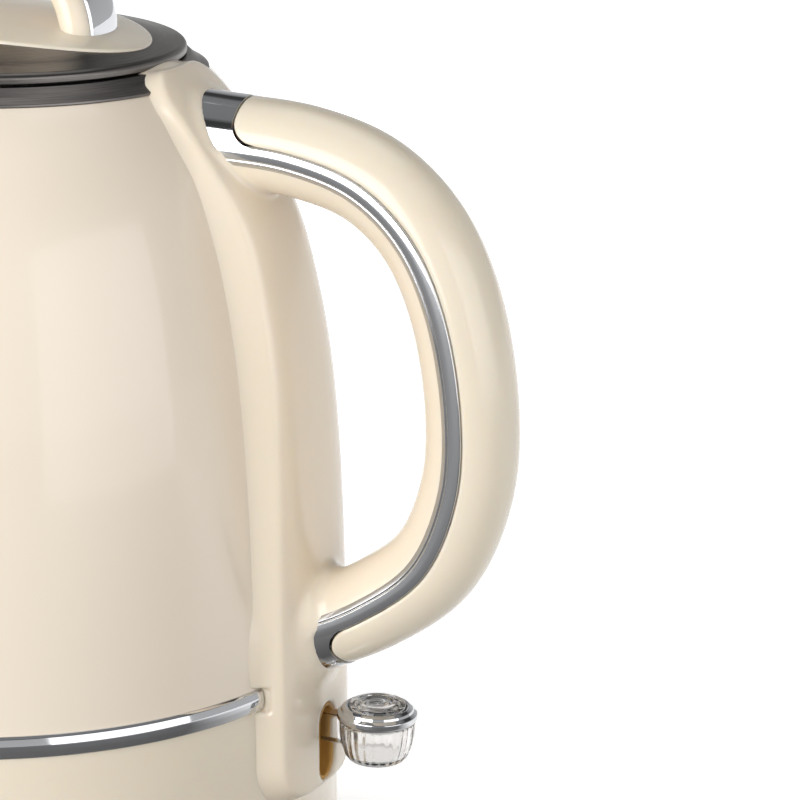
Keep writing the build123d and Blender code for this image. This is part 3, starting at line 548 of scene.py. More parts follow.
def jug_skirt():
    """Moulded lower ring of the jug with a rounded foot."""
    heights = np.linspace(FOOT_Z + 3, JOINT_Z, 40)
    outside = np.stack([body_radius(heights), heights], -1)
    wall = 2.2
    corner = rounded([(FOOT_R, FOOT_Z, 2.2), (FOOT_R, FOOT_Z + 6, 0), (FOOT_R - 8, FOOT_Z, 0)])[:7]
    inside = [(body_radius(JOINT_Z) - wall, JOINT_Z), (FOOT_R - wall, FOOT_Z)]
    outline = np.vstack([corner[::-1], outside, inside])
    piece = crease(lathe("jug_skirt", outline), 40)
    settle(piece, "jug", "cream_plastic", CREAM, "base_skirt")


def collar():
    """Brushed conical collar with a bright lower edge and a rolled top."""
    edge_r = float(body_radius(SHELL_TOP_Z))
    low, high = collar_low[2], collar_high[2]
    neck_r = 45.0
    outline = rounded([
        (neck_r, low, 0.4), (neck_r + 1.5, low, 0.4), (neck_r + 1.5, SHELL_TOP_Z - 0.6, 0.3),
        (edge_r - 1.2, SHELL_TOP_Z - 0.6, 0), (edge_r - 1.0, SHELL_TOP_Z + 0.05, 0),
        (edge_r + 0.25, SHELL_TOP_Z + 0.05, 0.2), (edge_r + 0.1, SHELL_TOP_Z + 0.75, 0.25),
        (51.0, high - 1.9, 3.0), (48.9, high, 0.5), (neck_r, high, 0.5),
    ])
    settle(crease(lathe("collar", outline), 50), "jug", "brushed_lid", BRUSHED, "collar_ring")


def band():
    """Chrome band round the jug, with its ends tucked into the back strip."""
    low, high = band_low[2], band_high[2]
    middle = (low + high) / 2
    half_gap = math.degrees(math.asin(BAND_END_Y / float(body_radius(middle))))
    base = float(body_radius(middle))
    outline = rounded([
        (base - 0.6, low + 0.3, 0), (base + 0.75, low + 0.1, 0.7), (base + 1.2, middle - 0.6, 2.5),
        (base + 1.2, middle + 0.6, 2.5), (base + 0.7, high - 0.5, 0.5), (base + 0.15, high, 0.2),
        (base - 0.6, high, 0),
    ])
    piece = lathe("band", outline, turns=300, start=half_gap, sweep=360 - 2 * half_gap)
    settle(crease(piece, 50), "jug", "chrome_trim", CHROME, "band_trim")


# ---------------------------------------------------------------- spout
SPOUT_SECTIONS = np.array([
    # x, z, half width, half height, tilt in degrees
    (-54.0, 178.0, 25.0, 29.0, 0.0),
    (-80.0, 190.0, 15.0, 16.5, 22.0),
    (-99.0, 205.0, 11.0, 7.5, 48.0),
])
SPOUT_WALL = 1.4
SPOUT_FLARE = 4.5


def spout_point(share, angle, inset=0.0):
    """Point on the spout's wall: share runs from its root to its tip."""
    share = np.asarray(share, float)
    first = (1 - share) * (1 - 2 * share)
    middle = 4 * share * (1 - share)
    last = share * (2 * share - 1)
    mixed = [first * a + middle * b + last * c for a, b, c in SPOUT_SECTIONS.T]
    x, z, wide, tall, tilt = mixed
    tilt = np.radians(tilt)
    across = (wide - inset) * np.cos(angle)
    rise = (tall - inset) * np.sin(angle)
    return np.stack([x + rise * np.sin(tilt), across, z + rise * np.cos(tilt)], -1)


def spout_cutter():
    """Inside of the spout as a closed solid, used to open the jug's wall behind it."""
    rows, columns = 40, 96
    angles = np.linspace(0, 2 * math.pi, columns, endpoint=False)
    shares = np.linspace(0, 1.02, rows)
    points = spout_point(shares[:, None], angles[None, :], SPOUT_WALL).reshape(-1, 3)
    return new_piece("spout_cutter", points, tube_faces(rows, columns))


def spout():
    """Pouring beak with a flared root, a thin wall and a rounded lip."""
    columns = 120
    angles = np.linspace(0, 2 * math.pi, columns, endpoint=False)
    lines = []
    for angle in angles:
        low, high = 0.0, 1.0
        for _ in range(30):
            middle = (low + high) / 2
            x, y, z = spout_point(middle, angle)
            if math.hypot(x, y) < float(body_radius(min(z, 212))):
                low = middle
            else:
                high = middle
        meet = spout_point(high, angle)
        ahead = spout_point(high + 0.12, angle)
        flat = meet - np.array([meet[0], 0, 178.0])
        spread = np.array([0, flat[1], flat[2]])
        foot = meet + spread / np.linalg.norm(spread) * SPOUT_FLARE
        foot_r = float(body_radius(min(foot[2], 211.5)))
        foot[0] = -math.sqrt(max(foot_r**2 - foot[1] ** 2, 1)) + 0.15
        line = [foot + np.array([0.6, 0, 0])]
        for t in np.linspace(0, 1, 9):
            line.append((1 - t) ** 2 * foot + 2 * t * (1 - t) * meet + t * t * ahead)
        for share in np.linspace(high + 0.12, 0.985, 22)[1:]:
            line.append(spout_point(share, angle))
        line.append(spout_point(1.0, angle, 0.15))
        line.append(spout_point(1.01, angle, 0.7))
        line.append(spout_point(1.0, angle, 1.25))
        for share in np.linspace(0.985, high - 0.02, 22):
            line.append(spout_point(share, angle, SPOUT_WALL))
        lines.append(line)
    points = np.array(lines).transpose(1, 0, 2)
    rows = len(points)
    faces = grid_faces(rows, columns, close_rows=True, close_columns=True)
    piece = new_piece("pouring_spout", points.reshape(-1, 3), faces)
    settle(piece, "jug", "cream_enamel", ENAMEL, "spout")


# ---------------------------------------------------------------- back strip and bow
def soft_max(a, b, blend):
    """Maximum of two fields with a rounded corner between them."""
    share = np.clip(0.5 + 0.5 * (a - b) / blend, 0, 1)
    return b * (1 - share) + a * share + blend * share * (1 - share)


def soft_min(a, b, blend):
    """Minimum of two fields with a rounded corner between them."""
    return -soft_max(-a, -b, blend)


def strip_half_width(z):
    """Half width of the back strip at a height: a gentle arc."""
    rise = z - STRIP_LOW_Z
    return STRIP_LOW_HALF + STRIP_SPREAD * rise - STRIP_NARROWING * rise**2


def crest_proud(z):
    """How far the strip's crest stands proud of the jug at a height, smoothed over 12 mm."""
    spread = np.array((-6.0, -3.0, 0.0, 3.0, 6.0))
    return np.interp(z[:, None] + spread, CREST_HEIGHTS, CREST_PROUD).mean(-1)


def above_wall(points):
    """Height above the jug's wall and the wall height that each point belongs to."""
    radial = np.hypot(points[:, 0], points[:, 1])
    z = points[:, 2]
    out, up = body_normal(z)
    lift = (radial - body_radius(z)) * out
    foot = z - lift * up
    out, up = body_normal(foot)
    lift = (radial - body_radius(foot)) * out + (z - foot) * up
    return lift, foot


def strip_field(points):
    """Negative inside the back strip."""
    lift, foot = above_wall(points)
    side = np.abs(points[:, 1])
    from_side = strip_half_width(foot) - side
    from_low = foot - STRIP_LOW_Z
    from_high = STRIP_HIGH_Z - foot

    def corner(a, b, radius):
        inner = radius - np.hypot(np.maximum(radius - a, 0), np.maximum(radius - b, 0))
        return np.minimum(np.minimum(inner, a), b)

    low_inset = corner(from_side, from_low, STRIP_LOW_CORNER)
    inset = np.minimum(low_inset, corner(from_side, from_high, STRIP_HIGH_CORNER))
    crest = crest_proud(foot)
    shoulder = crest - RIDGE_PROUD * np.minimum(1, crest / 6)
    flank = (lift - FLANK_START - FLANK_SLOPE * inset) / FLANK_STEEPNESS
    top = lift - crest + shoulder * (side / strip_half_width(foot)) ** 4
    field = soft_max(flank, top, RIDGE_ROUND)
    return soft_max(field, -(lift + STRIP_BACK_DEPTH), 0.15)


def bow_field(points):
    """Negative inside the cream half of the bow, between its two ends."""
    travel, outward, side = bow.measure(points)
    round_part = np.hypot(outward, side) - BOW_R
    ends = np.maximum(-travel, travel - bow.length)
    return soft_max(np.maximum(round_part, ends), outward - CREAM_OUTER, 0.3)


def cuff_field(points):
    """Negative inside the flared cuffs round the bow's two roots.

    Known fault: nothing limits it inwards, so it also fills the jug behind the wall.
    """
    travel, outward, side = bow.measure(points)
    lift, _ = above_wall(points)
    proud = np.where(travel < bow.length / 2, UPPER_CUFF_PROUD, LOWER_CUFF_PROUD)
    flare = np.maximum(np.hypot(outward, side) - BOW_R - 0.5, 0)
    far = np.minimum(travel, bow.length - travel) - CUFF_REACH
    return np.maximum((lift - proud + CUFF_SLOPE * flare) * 0.8, far)


def from_slot_middle(points):
    """Distance from the straight middle line of the slot, seen along X."""
    beyond = np.maximum(np.abs(points[:, 2] - SLOT_MIDDLE_Z) - SLOT_HALF_STRAIGHT, 0)
    return np.hypot(points[:, 1], beyond)


def mount_field(points):
    """Negative inside the moulding: strip, inner half of the bow, slot and band pockets."""
    field = soft_min(strip_field(points), cuff_field(points), 0.8)
    field = soft_min(field, bow_field(points), 2.4)
    slot = np.maximum(from_slot_middle(points) - SLOT_R, 80 - points[:, 0])
    field = soft_max(field, -slot, 0.9)
    middle = (band_low[2] + band_high[2]) / 2
    pocket_half = (band_high[2] - band_low[2]) / 2 + 0.2
    pocket_start = BAND_END_Y - 0.5
    beside = pocket_start - np.abs(points[:, 1])
    pocket = np.maximum(np.abs(points[:, 2] - middle) - pocket_half, beside)
    lift, _ = above_wall(points)
    pocket = soft_max(pocket, lift - 2.6, 0.3)
    field = soft_max(field, -pocket, 0.2)
    inner_limit = 44 - points[:, 0]
    return np.maximum(field, inner_limit)


def pull_to_surface(points, field, steps=8):
    """Move points onto the zero level of a field."""
    reach = 0.05
    for _ in range(steps):
        value = field(points)
        steps_out = np.eye(3) * reach
        rises = [field(points + step) - field(points - step) for step in steps_out]
        slope = np.stack(rises, -1) / (2 * reach)
        size = np.maximum((slope**2).sum(1), 0.05)
        step = slope * (value / size)[:, None]
        far = np.linalg.norm(step, axis=1)
        step *= (np.minimum(far, 0.8) / np.maximum(far, 1e-9))[:, None]
        points = points - step
    return points


def mesh_from_field(name, field, low, high, cell):
    """Closed quad mesh of a field's zero level: one point for each cell that it crosses."""
    low, high = np.array(low, float), np.array(high, float)
    counts = np.ceil((high - low) / cell).astype(int) + 1
    axes = [low[k] + cell * np.arange(counts[k]) for k in range(3)]
    lattice = np.stack(np.meshgrid(*axes, indexing="ij"), -1).reshape(-1, 3)
    starts = range(0, len(lattice), 200000)
    values = np.concatenate([field(lattice[i : i + 200000]) for i in starts])
    inside = values.reshape(counts) < 0
    inside[0], inside[-1] = False, False
    inside[:, 0], inside[:, -1] = False, False
    inside[:, :, 0], inside[:, :, -1] = False, False
    corner = [(a, b, c) for a in (0, 1) for b in (0, 1) for c in (0, 1)]
    cells = [slice(None, -1), slice(1, None)]
    stack = np.stack([inside[cells[a], cells[b], cells[c]] for a, b, c in corner])
    mixed = stack.any(0) & ~stack.all(0)
    index = -np.ones(mixed.shape, int)
    index[mixed] = np.arange(mixed.sum())
    where = np.argwhere(mixed)
    points = low + (where + 0.5) * cell
    faces = []
    for axis in range(3):
        near = [slice(None)] * 3
        far = [slice(None)] * 3
        near[axis] = slice(None, -1)
        far[axis] = slice(1, None)
        crossing = np.argwhere(inside[tuple(near)] != inside[tuple(far)])
        u, v = [k for k in range(3) if k != axis]
        crossing = crossing[(crossing[:, u] > 0) & (crossing[:, v] > 0)]
        quad = []
        for du, dv in ((0, 0), (1, 0), (1, 1), (0, 1)):
            step = crossing.copy()
            step[:, u] -= du
            step[:, v] -= dv
            quad.append(index[step[:, 0], step[:, 1], step[:, 2]])
        faces.extend(np.stack(quad, -1).tolist())
    points = relax(points, faces, 6)
    for _ in range(4):
        points = pull_to_surface(points, field, 3)
        points = relax(points, faces, 1, 0.35)
    points = pull_to_surface(points, field, 6)
    return new_piece(name, points, faces)


def relax(points, faces, rounds, share=0.5):
    """Even out points along their edges."""
    quads = np.array(faces)
    edges = np.concatenate([quads[:, [0, 1]], quads[:, [1, 2]], quads[:, [2, 3]], quads[:, [3, 0]]])
    for _ in range(rounds):
        total = np.zeros_like(points)
        count = np.zeros(len(points))
        for a, b in ((0, 1), (1, 0)):
            np.add.at(total, edges[:, a], points[edges[:, b]])
            np.add.at(count, edges[:, a], 1)
        points = points * (1 - share) + share * total / np.maximum(count, 1)[:, None]
    return points


def back_moulding():
    """Strip and inner half of the bow in one piece."""
    cell = 0.8
    piece = mesh_from_field("back_moulding", mount_field, (46, -26, 40), (132, 26, 220), cell)
    settle(piece, "jug", "cream_plastic", CREAM, "handle_mount")


def swept(travels, section):
    """Closed sweep of an outline of (outward, side) points along the bow."""
    rows = []
    for travel in travels:
        rows.append(bow.point(np.full(len(section), travel), section[:, 0], section[:, 1]))
    points = np.array(rows).reshape(-1, 3)
    return points, tube_faces(len(travels), len(section))


def trim_section(side):
    """Section of one side line of the chrome frame: a wide face, a groove and a narrow bevel."""
    outline = rounded([
        (TRIM_INNER, 9.75, 0), (TRIM_INNER + 0.1, 10.35, 0.2), (TRIM_INNER + 1.25, 10.95, 0.3),
        (TRIM_INNER + 1.55, 10.75, 0.15), (TRIM_INNER + 1.85, 11.0, 0.25), (-0.2, 11.15, 3.0),
        (TRIM_OUTER - 0.25, 11.0, 0.3), (TRIM_OUTER - 0.1, 10.2, 0), (TRIM_OUTER - 0.1, 9.0, 0),
        (TRIM_INNER, 9.0, 0),
    ], steps=4)
    outline[:, 1] *= side
    return outline


def pad_limits(side_distance, corner):
    """How far the cover's end draws back near its side edge, for a rounded corner."""
    near = np.clip(corner - side_distance, 0, corner)
    return corner - np.sqrt(np.maximum(corner**2 - near**2, 0))


def edge_angle(outward, radius=BOW_R):
    """Angle round the bow at which its surface is a given distance outward."""
    return math.asin(outward / radius)


def cap_patch(root, pad_edge, toward):
    """Chrome that closes the frame over the outer half of the bow at one root."""
    columns = 64
    low = edge_angle(TRIM_OUTER - 0.4, 11.0)
    angles = np.linspace(low, math.pi - low, columns)
    side_distance = np.minimum(angles - low, math.pi - low - angles) * BOW_R
    ends = pad_edge + toward * pad_limits(side_distance, PAD_CORNER)
    outer, inner = [], []
    for share in np.linspace(0, 1, 18):
        travel = root * (1 - share) + ends * share
        for target, radius in ((outer, 11.02), (inner, 9.6)):
            target.append(bow.point(travel, radius * np.sin(angles), -radius * np.cos(angles)))
    grid = np.array(outer + inner[::-1])
    return grid.reshape(-1, 3), patch_faces(len(grid), columns)


def chrome_frame():
    """Chrome frame of the bow: two side lines and a cap at each root."""
    first, last = -ROOT_DEPTH, bow.length + ROOT_DEPTH
    travels = np.linspace(first, last, 220)
    pieces = [swept(travels, trim_section(side)) for side in (-1, 1)]
    pieces.append(cap_patch(first, UPPER_PAD_START, 1))
    pieces.append(cap_patch(last, LOWER_PAD_END, -1))
    points, faces = [], []
    for some_points, some_faces in pieces:
        first = sum(len(p) for p in points)
        points.append(some_points)
        faces.extend(tuple(first + k for k in face) for face in some_faces)
    piece = crease(new_piece("chrome_frame", np.vstack(points), faces), 40)
    settle(piece, "jug", "chrome_trim", CHROME, "handle_trim")


def bow_cover():
    """Outer half of the bow: a crowned shell with rounded ends and rolled edges."""
    columns = 72
    low = edge_angle(TRIM_OUTER + 0.15)
    angles = np.linspace(low, math.pi - low, columns)
    side_distance = np.minimum(angles - low, math.pi - low - angles) * BOW_R
    limit = pad_limits(side_distance, PAD_CORNER)
    first = UPPER_PAD_START + 0.2 + limit
    last = LOWER_PAD_END - 0.2 - limit
    middle = np.linspace(0.01, 0.99, 170)
    shares = np.concatenate([[0, 0, 0.0015, 0.004], middle, [0.996, 0.9985, 1, 1]])
    sink = np.zeros(len(shares))
    sink[[0, -1]], sink[[1, -2]], sink[[2, -3]] = 1.4, 0.35, 0.08
    edge = np.zeros(columns)
    edge[[0, -1]], edge[[1, -2]] = 0.35, 0.05
    outer, inner = [], []
    for share, down in zip(shares, sink):
        travel = first * (1 - share) + last * share
        radius = BOW_R + 0.12 - down - edge
        outer.append(bow.point(travel, radius * np.sin(angles), -radius * np.cos(angles)))
        inner.append(bow.point(travel, 9.0 * np.sin(angles), -9.0 * np.cos(angles)))
    grid = np.array(outer + inner[::-1])
    faces = patch_faces(len(grid), columns)
    piece = crease(new_piece("bow_cover", grid.reshape(-1, 3), faces), 50)
    settle(piece, "jug", "cream_plastic", CREAM, "handle_cover")


# ---------------------------------------------------------------- lid
LID_R = plate_high[0]
LID_LOW_Z = plate_low[2]
LID_EDGE_Z = 218.0
LID_CROWN = 8.3
INLAY_LENGTH_R = 42.3
INLAY_WIDTH_R = 28.0
INLAY_THICK = 0.6
ARCH_FOOT_X = 28.2
ARCH_FOOT_Z = 222.0
ARCH_RISE = 23.0
ARCH_HALF_WIDTH = 10.0
ARCH_HALF_THICK = 5.0
ARCH_TRIM_HALF = 6.5


def lid_height(radius):
    """Height of the lid's domed top at a radius."""
    sphere_r = (LID_R**2 + LID_CROWN**2) / (2 * LID_CROWN)
    return LID_EDGE_Z + LID_CROWN - sphere_r + np.sqrt(sphere_r**2 - np.asarray(radius) ** 2)


def lid_dome():
    """Brushed lid: a shallow dome with a rolled rim."""
    start = LID_R - 5.0
    radii = np.linspace(0.05, start, 40)
    top = np.stack([radii, lid_height(radii)], -1)
    rim = rounded([
        (start, float(lid_height(start)), 0), (LID_R - 0.1, float(lid_height(LID_R)) + 0.7, 3.4),
        (LID_R, LID_LOW_Z, 0.4), (LID_R - 2.4, LID_LOW_Z, 0.3), (LID_R - 2.4, LID_LOW_Z + 1.2, 0.8),
        (LID_R - 6.0, float(lid_height(LID_R - 6.0)) - 1.2, 0),
    ], steps=12)
    under = top[::-1] - np.array([0, 1.2])
    outline = np.vstack([top, rim[1:], under[under[:, 0] < LID_R - 6.5]])
    settle(crease(lathe("lid_dome", outline), 40), "lid", "brushed_lid", BRUSHED, "lid_plate")


def lid_oval():
    """Cream oval plate with a softly rounded edge."""
    columns = 192
    angles = np.linspace(0, 2 * math.pi, columns, endpoint=False)
    rows = [(share, 0.0) for share in np.linspace(0.002, 0.985, 40)]
    rows += [(0.9925, 0.05), (0.998, 0.2), (1.0, 0.45), (1.0, 0.9), (0.97, 1.0), (0.002, 1.0)]
    points = []
    for share, down in rows:
        x = INLAY_LENGTH_R * share * np.cos(angles)
        y = INLAY_WIDTH_R * share * np.sin(angles)
        points.append(np.stack([x, y, lid_height(np.hypot(x, y)) + INLAY_THICK - down], -1))
    faces = grid_faces(len(rows), columns, close_rows=True, close_columns=True)
    piece = crease(new_piece("lid_oval", np.array(points).reshape(-1, 3), faces), 50)
    settle(piece, "lid", "cream_plastic", CREAM, "lid_inlay")


def arch_sweep(name, section):
    """Closed sweep of an outline of (side, outward) points along the lid's arch."""
    turns = np.linspace(0, math.pi, 120)
    centre = np.stack([ARCH_FOOT_X * np.cos(turns), ARCH_FOOT_Z + ARCH_RISE * np.sin(turns)], -1)
    out = np.stack([np.cos(turns) / ARCH_FOOT_X, np.sin(turns) / ARCH_RISE], -1)
    out /= np.linalg.norm(out, axis=1)[:, None]
    centre = np.vstack([centre[:1] - [0, 2.5], centre, centre[-1:] - [0, 2.5]])
    out = np.vstack([out[:1], out, out[-1:]])
    rows = []
    for middle, direction in zip(centre, out):
        flat = middle + section[:, 1:2] * direction
        rows.append(np.stack([flat[:, 0], section[:, 0], flat[:, 1]], -1))
    return new_piece(name, np.array(rows).reshape(-1, 3), tube_faces(len(rows), len(section)))


def oval_height(side, wide, thick):
    """Height of the arch's oval section at a distance from its middle."""
    return thick * (1 - np.clip(np.abs(side) / wide, 0, 1) ** 2.3) ** (1 / 2.1)


def lid_arch():
    """Cream arch with a groove along its outside, and the chrome line in the groove."""
    lower = np.linspace(0, math.pi, 40)
    under = np.stack([
        ARCH_HALF_WIDTH * np.cos(lower), -ARCH_HALF_THICK * np.sin(lower) ** 0.9,
    ], -1)
    groove = ARCH_TRIM_HALF + 0.15
    left = np.linspace(-ARCH_HALF_WIDTH, -groove, 16)[1:]
    left = np.stack([left, oval_height(left, ARCH_HALF_WIDTH, ARCH_HALF_THICK)], -1)
    floor = np.array([(-groove, 3.2), (groove, 3.2)])
    right = left[::-1] * [-1, 1]
    body = np.vstack([under, left, floor, right])
    settle(crease(arch_sweep("lid_arch", body), 40), "lid", "cream_plastic", CREAM, "lid_handle")
    across = np.linspace(-ARCH_TRIM_HALF, ARCH_TRIM_HALF, 25)
    top = oval_height(across, ARCH_HALF_WIDTH, ARCH_HALF_THICK) + 0.28
    near_edge = ARCH_TRIM_HALF - np.abs(across)
    top -= 0.28 * np.clip(1 - near_edge / 0.7, 0, 1) ** 2
    line = np.vstack([np.stack([across, top], -1), [(ARCH_TRIM_HALF, 3.3), (-ARCH_TRIM_HALF, 3.3)]])
    piece = crease(arch_sweep("lid_arch_trim", line), 40)
    settle(piece, "lid", "chrome_trim", CHROME, "lid_handle_trim")


# ---------------------------------------------------------------- switch
KNOB_X = (knob_low[0] + knob_high[0]) / 2
KNOB_R = (knob_high[0] - knob_low[0]) / 2
KNOB_LOW_Z = lever_low[2]
RING_LOW_Z = knob_low[2]
RING_HIGH_Z = knob_high[2]
LENS_TOP_Z = lens_high[2]
PIVOT_X = 60.0
PIVOT_Z = 62.0
PIN_HOLE_R = 1.55
HUB_R = 4.0
HUB_HALF_WIDTH = 6.1
STEM_MIDDLE_Z = 62.5
STEM_HALF_WIDTH = 2.6
STEM_HALF_HEIGHT = 3.5
STEM_ROUND = 0.9
RIB_COUNT = 26
RIB_DEPTH = 0.22


def lever_field(points):
    """Negative inside the clear lever: hub, stem and ribbed bowl."""
    x, y, z = points.T
    across = np.abs(y) - STEM_HALF_WIDTH + STEM_ROUND
    along = np.maximum(PIVOT_X - x, x - (KNOB_X - 7.0)) + STEM_ROUND
    upright = np.abs(z - STEM_MIDDLE_Z) - STEM_HALF_HEIGHT + STEM_ROUND
    outside = np.stack([np.maximum(v, 0) for v in (across, along, upright)])
    within = np.minimum(np.maximum.reduce([across, along, upright]), 0)
    stem = np.sqrt((outside**2).sum(0)) + within - STEM_ROUND
    from_pivot = np.hypot(x - PIVOT_X, z - PIVOT_Z)
    hub = soft_max(from_pivot - HUB_R, np.abs(y) - HUB_HALF_WIDTH, 0.5)
    arm = soft_min(stem, hub, 1.0)
    arm = np.maximum(arm, PIN_HOLE_R - from_pivot)
    radius = np.hypot(x - KNOB_X, y)
    angle = np.arctan2(y, x - KNOB_X)
    climb = np.clip((z - KNOB_LOW_Z) / (RING_LOW_Z - KNOB_LOW_Z), 0, 1)
    wall = 5.5 + 3.5 * np.sqrt(1 - (1 - climb) ** 2.2)
    ribbed = np.clip(climb / 0.2, 0, 1) * np.clip((1 - climb) / 0.12, 0, 1)
    ribs = RIB_DEPTH * ribbed * (0.5 + 0.5 * np.cos(RIB_COUNT * angle))
    bowl = soft_max((radius - wall + ribs) * 0.8, np.maximum(KNOB_LOW_Z - z, z - RING_LOW_Z), 0.7)
    hollow = np.maximum((radius - wall + 1.5) * 0.8, KNOB_LOW_Z + 1.6 - z)
    bowl = soft_max(bowl, -hollow, 0.4)
    return soft_min(np.maximum(arm, KNOB_R - 1.8 - radius), bowl, 0.6)


def switch():
    """Clear lever, two-step chrome ring and moulded clear cap."""
    cell = 0.45
    lever = mesh_from_field("switch_arm", lever_field, (54, -10.5, 54), (115, 10.5, 68), cell)
    settle(lever, "switch", "clear_plastic", CLEAR, "switch_lever")
    centre = (KNOB_X, 0)
    ring = rounded([
        (KNOB_R - 2.5, RING_LOW_Z, 0.2), (KNOB_R - 0.5, RING_LOW_Z, 0.4),
        (KNOB_R, RING_LOW_Z + 0.7, 0.4), (KNOB_R, RING_LOW_Z + 1.9, 0.4),
        (KNOB_R - 0.9, RING_LOW_Z + 2.5, 0.15),
        (KNOB_R - 1.1, RING_LOW_Z + 3.1, 0.2), (KNOB_R - 1.9, RING_HIGH_Z, 0.3),
        (KNOB_R - 2.5, RING_HIGH_Z - 0.1, 0.2),
    ])
    piece = crease(lathe("switch_rim", ring, turns=120, centre=centre), 40)
    settle(piece, "switch", "chrome_trim", CHROME, "switch_ring")
    cap_r = KNOB_R - 2.55
    top = LENS_TOP_Z
    cap = rounded([
        (0.02, top - 0.25, 0), (2.2, top - 0.3, 0.3), (2.7, top - 0.9, 0.3), (3.3, top - 0.9, 0.3),
        (3.8, top - 0.25, 0.4), (4.9, top - 0.1, 0.6), (cap_r - 0.4, top - 0.5, 0.8),
        (cap_r, top - 1.6, 0.5), (cap_r, RING_LOW_Z + 0.7, 0.3),
        (cap_r - 1.4, RING_LOW_Z + 0.7, 0.3),
        (cap_r - 1.8, top - 2.1, 0.4), (0.02, top - 1.8, 0),
    ])
    piece = crease(lathe("switch_cap", cap, turns=96, centre=centre), 40)
    settle(piece, "switch", "clear_plastic", CLEAR, "switch_lens")


def sleeve_field(points):
    """Negative inside the sleeve, whose amber colour is painted shade, and its housing behind the
    slot.
    """
    x, y, z = points.T
    height = np.abs(z - SLOT_MIDDLE_Z)
    capsule = from_slot_middle(points)
    sleeve = np.maximum.reduce([capsule - SLOT_R, SLEEVE_INNER_R - capsule, x - 91.7, 78.5 - x])
    box = np.maximum.reduce([np.abs(y) - 9, height - 9.7, 52 - x, x - 80])
    hollow = np.maximum.reduce([np.abs(y) - 6.5, height - 8.8, 54 - x, x - 78])
    hollow = np.minimum(hollow, np.maximum(capsule - SLEEVE_INNER_R, 76 - x))
    box = soft_max(box, -hollow, 0.3)
    box = np.maximum(box, 1.5 - np.hypot(x - PIVOT_X, z - PIVOT_Z))
    return soft_min(box, sleeve, 0.4)


def slot_shade_sleeve():
    """Housing whose sleeve lines the slot; its amber colour is painted shade, the deep warm shade
    inside the cream slot.
    """
    cell = 0.6
    piece = mesh_from_field("slot_shade_sleeve", sleeve_field, (50, -11, 47), (93.5, 11, 70), cell)
    # The amber material on this piece is painted shade of the slot.
    settle(piece, "jug", "amber_plastic", SLOT_SHADE_AMBER, "switch_housing")


# ---------------------------------------------------------------- power base
def power_base():
    """Moulded cover of the power base with a soft shoulder and the jug's rest ring."""
    top = 16.0
    hole_r = 17.5
    rest_high = base_high[2]
    base_r = base_high[0]
    low = base_low[2]
    outline = rounded([
        (hole_r, top, 0.6), (69.8, top, 0.6), (70.2, rest_high, 0.6), (73.8, rest_high, 0.6),
        (74.2, top - 0.3, 0.5), (76.5, top - 1.2, 3.0), (base_r, top - 5.0, 3.5),
        (base_r, low, 0.5), (base_r - 2, low, 0), (base_r - 2, top - 6.5, 2.0),
        (75.5, top - 3.2, 1.0), (hole_r, top - 2, 0.3),
    ])
    piece = crease(lathe("power_base_cover", outline), 40)
    settle(piece, "power_base", "cream_plastic", CREAM, "base_top_cover")


# ---------------------------------------------------------------- stage, lights and camera
LAMPS = [
    # name, centre, target, size, watts
    ("key", (-330, -1310, 430), (0, 0, 120), (1300, 1200), 23.5),
    ("side", (1250, -450, 260), (60, 0, 130), (1100, 1100), 5.4),
    ("top", (100, 250, 1250), (0, 0, 200), (900, 500), 1.2),
]
FLOOR_REACH_M = 30.0
CAMERA_LENS_MM = 151.94
CAMERA_SENSOR_MM = 36.0
CAMERA_PLACE = (395.6, -685.1, 356.7)
CAMERA_RIGHT = (0.91946, 0.39251, 0.02308)
CAMERA_UP = (-0.12816, 0.24369, 0.96135)
CAMERA_FORWARD = (-0.37171, 0.88688, -0.27437)


def glow(name, centre, target, size, power):
    """Large soft light at a place, aimed at a point, both in millimetres."""
    lamp = bpy.data.lights.new(name, "AREA")
    lamp.shape = "RECTANGLE"
    lamp.size, lamp.size_y = (value * MM for value in size)
    lamp.energy = power
    holder = bpy.data.objects.new(name, lamp)
    bpy.context.scene.collection.objects.link(holder)
    place, aim = Vector(centre) * MM, Vector(target) * MM
    holder.location = place
    holder.rotation_euler = (aim - place).to_track_quat("-Z", "Y").to_euler()


# Brightness of the surround at each height above the horizon (0) up to overhead (1).
SKY = [(0.0, 1.15), (0.30, 1.0), (0.50, 0.55), (0.58, 0.10), (0.72, 0.10), (0.80, 0.45), (1.0, 0.5)]


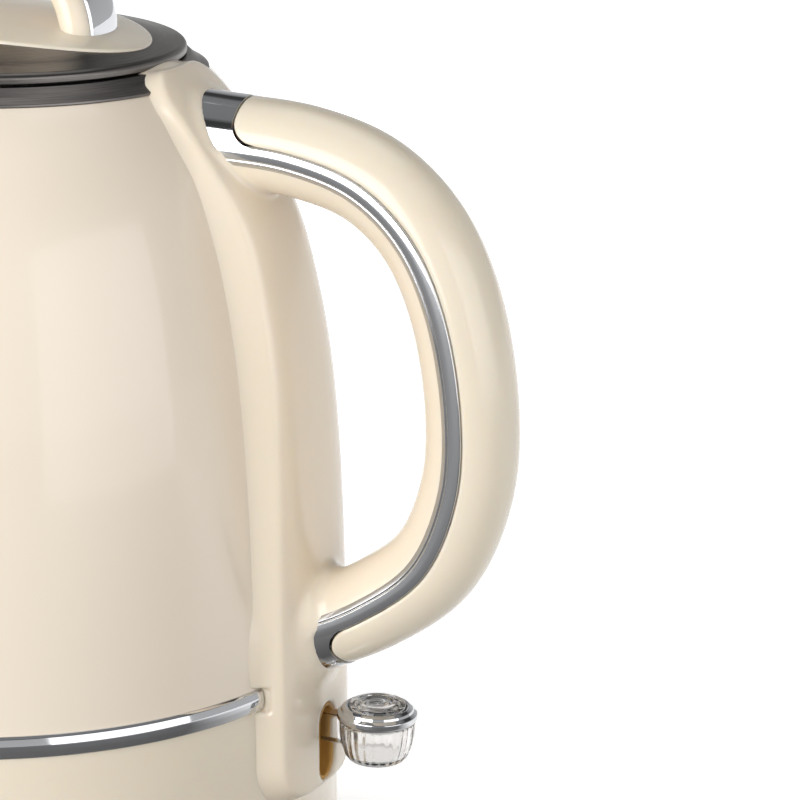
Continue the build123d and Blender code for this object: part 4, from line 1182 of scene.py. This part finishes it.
def studio():
    """Soft lights, a banded grey surround, and a floor that is grey in front and glows white behind
    as painted light.
    """
    world = bpy.data.worlds.new("surround")
    bpy.context.scene.world = world
    world.use_nodes = True
    tree = world.node_tree
    background = tree.nodes["Background"]
    background.inputs["Strength"].default_value = 0.52
    direction = tree.nodes.new("ShaderNodeTexCoord")
    parts = tree.nodes.new("ShaderNodeSeparateXYZ")
    ramp = tree.nodes.new("ShaderNodeValToRGB")
    tree.links.new(direction.outputs["Generated"], parts.inputs[0])
    tree.links.new(parts.outputs["Z"], ramp.inputs[0])
    tree.links.new(ramp.outputs[0], background.inputs["Color"])
    for _ in range(len(SKY) - 2):
        ramp.color_ramp.elements.new(0.5)
    for element, (height, shade) in zip(ramp.color_ramp.elements, SKY):
        element.position = height
        element.color = (shade, shade, shade, 1)
    reach = FLOOR_REACH_M
    mesh = bpy.data.meshes.new("floor")
    corners = [(-reach, -reach, 0), (reach, -reach, 0), (reach, reach, 0), (-reach, reach, 0)]
    mesh.from_pydata(corners, [], [(0, 1, 2, 3)])
    floor = bpy.data.objects.new("floor", mesh)
    bpy.context.scene.collection.objects.link(floor)
    paint = Nodes("floor_paint", Roughness=0.7)
    place = paint.add("ShaderNodeSeparateXYZ", Vector=paint.place())
    shade = paint.between(place.outputs["Y"], 0, 1, -0.02, 0.11)
    far = paint.between(place.outputs["Y"], 0, 1, 0.2, 1.6)
    # The floor's emission is painted light: it glows as a lit white sweep would, brighter further
    # back and almost unlit on the grey front.
    lit = paint.mix(far, (0.72, 0.72, 0.72), (1, 1, 1))
    paint.drive("Base Color", paint.mix(shade, (0.16, 0.16, 0.16), (0.9, 0.9, 0.9)))
    paint.drive("Emission Color", paint.mix(shade, (0.03, 0.03, 0.03), lit))
    paint.shader.inputs["Emission Strength"].default_value = 0.96
    floor.data.materials.append(paint.material)
    for lamp in LAMPS:
        glow(*lamp)
    bpy.context.scene.view_settings.view_transform = "Standard"


def camera():
    """Camera at the wanted viewing angle."""
    lens = bpy.data.cameras.new("camera")
    lens.lens = CAMERA_LENS_MM
    lens.sensor_width = CAMERA_SENSOR_MM
    lens.clip_start, lens.clip_end = 0.01, 100
    holder = bpy.data.objects.new("camera", lens)
    bpy.context.scene.collection.objects.link(holder)
    axes = (Vector(CAMERA_RIGHT), Vector(CAMERA_UP), -Vector(CAMERA_FORWARD))
    matrix = Matrix(axes).transposed().to_4x4()
    matrix.translation = Vector(CAMERA_PLACE) * MM
    holder.matrix_world = matrix
    bpy.context.scene.camera = holder


dress_cad_nodes()
jug_body()
jug_skirt()
collar()
band()
spout()
back_moulding()
chrome_frame()
bow_cover()
lid_dome()
lid_oval()
lid_arch()
switch()
slot_shade_sleeve()
power_base()
studio()
camera()
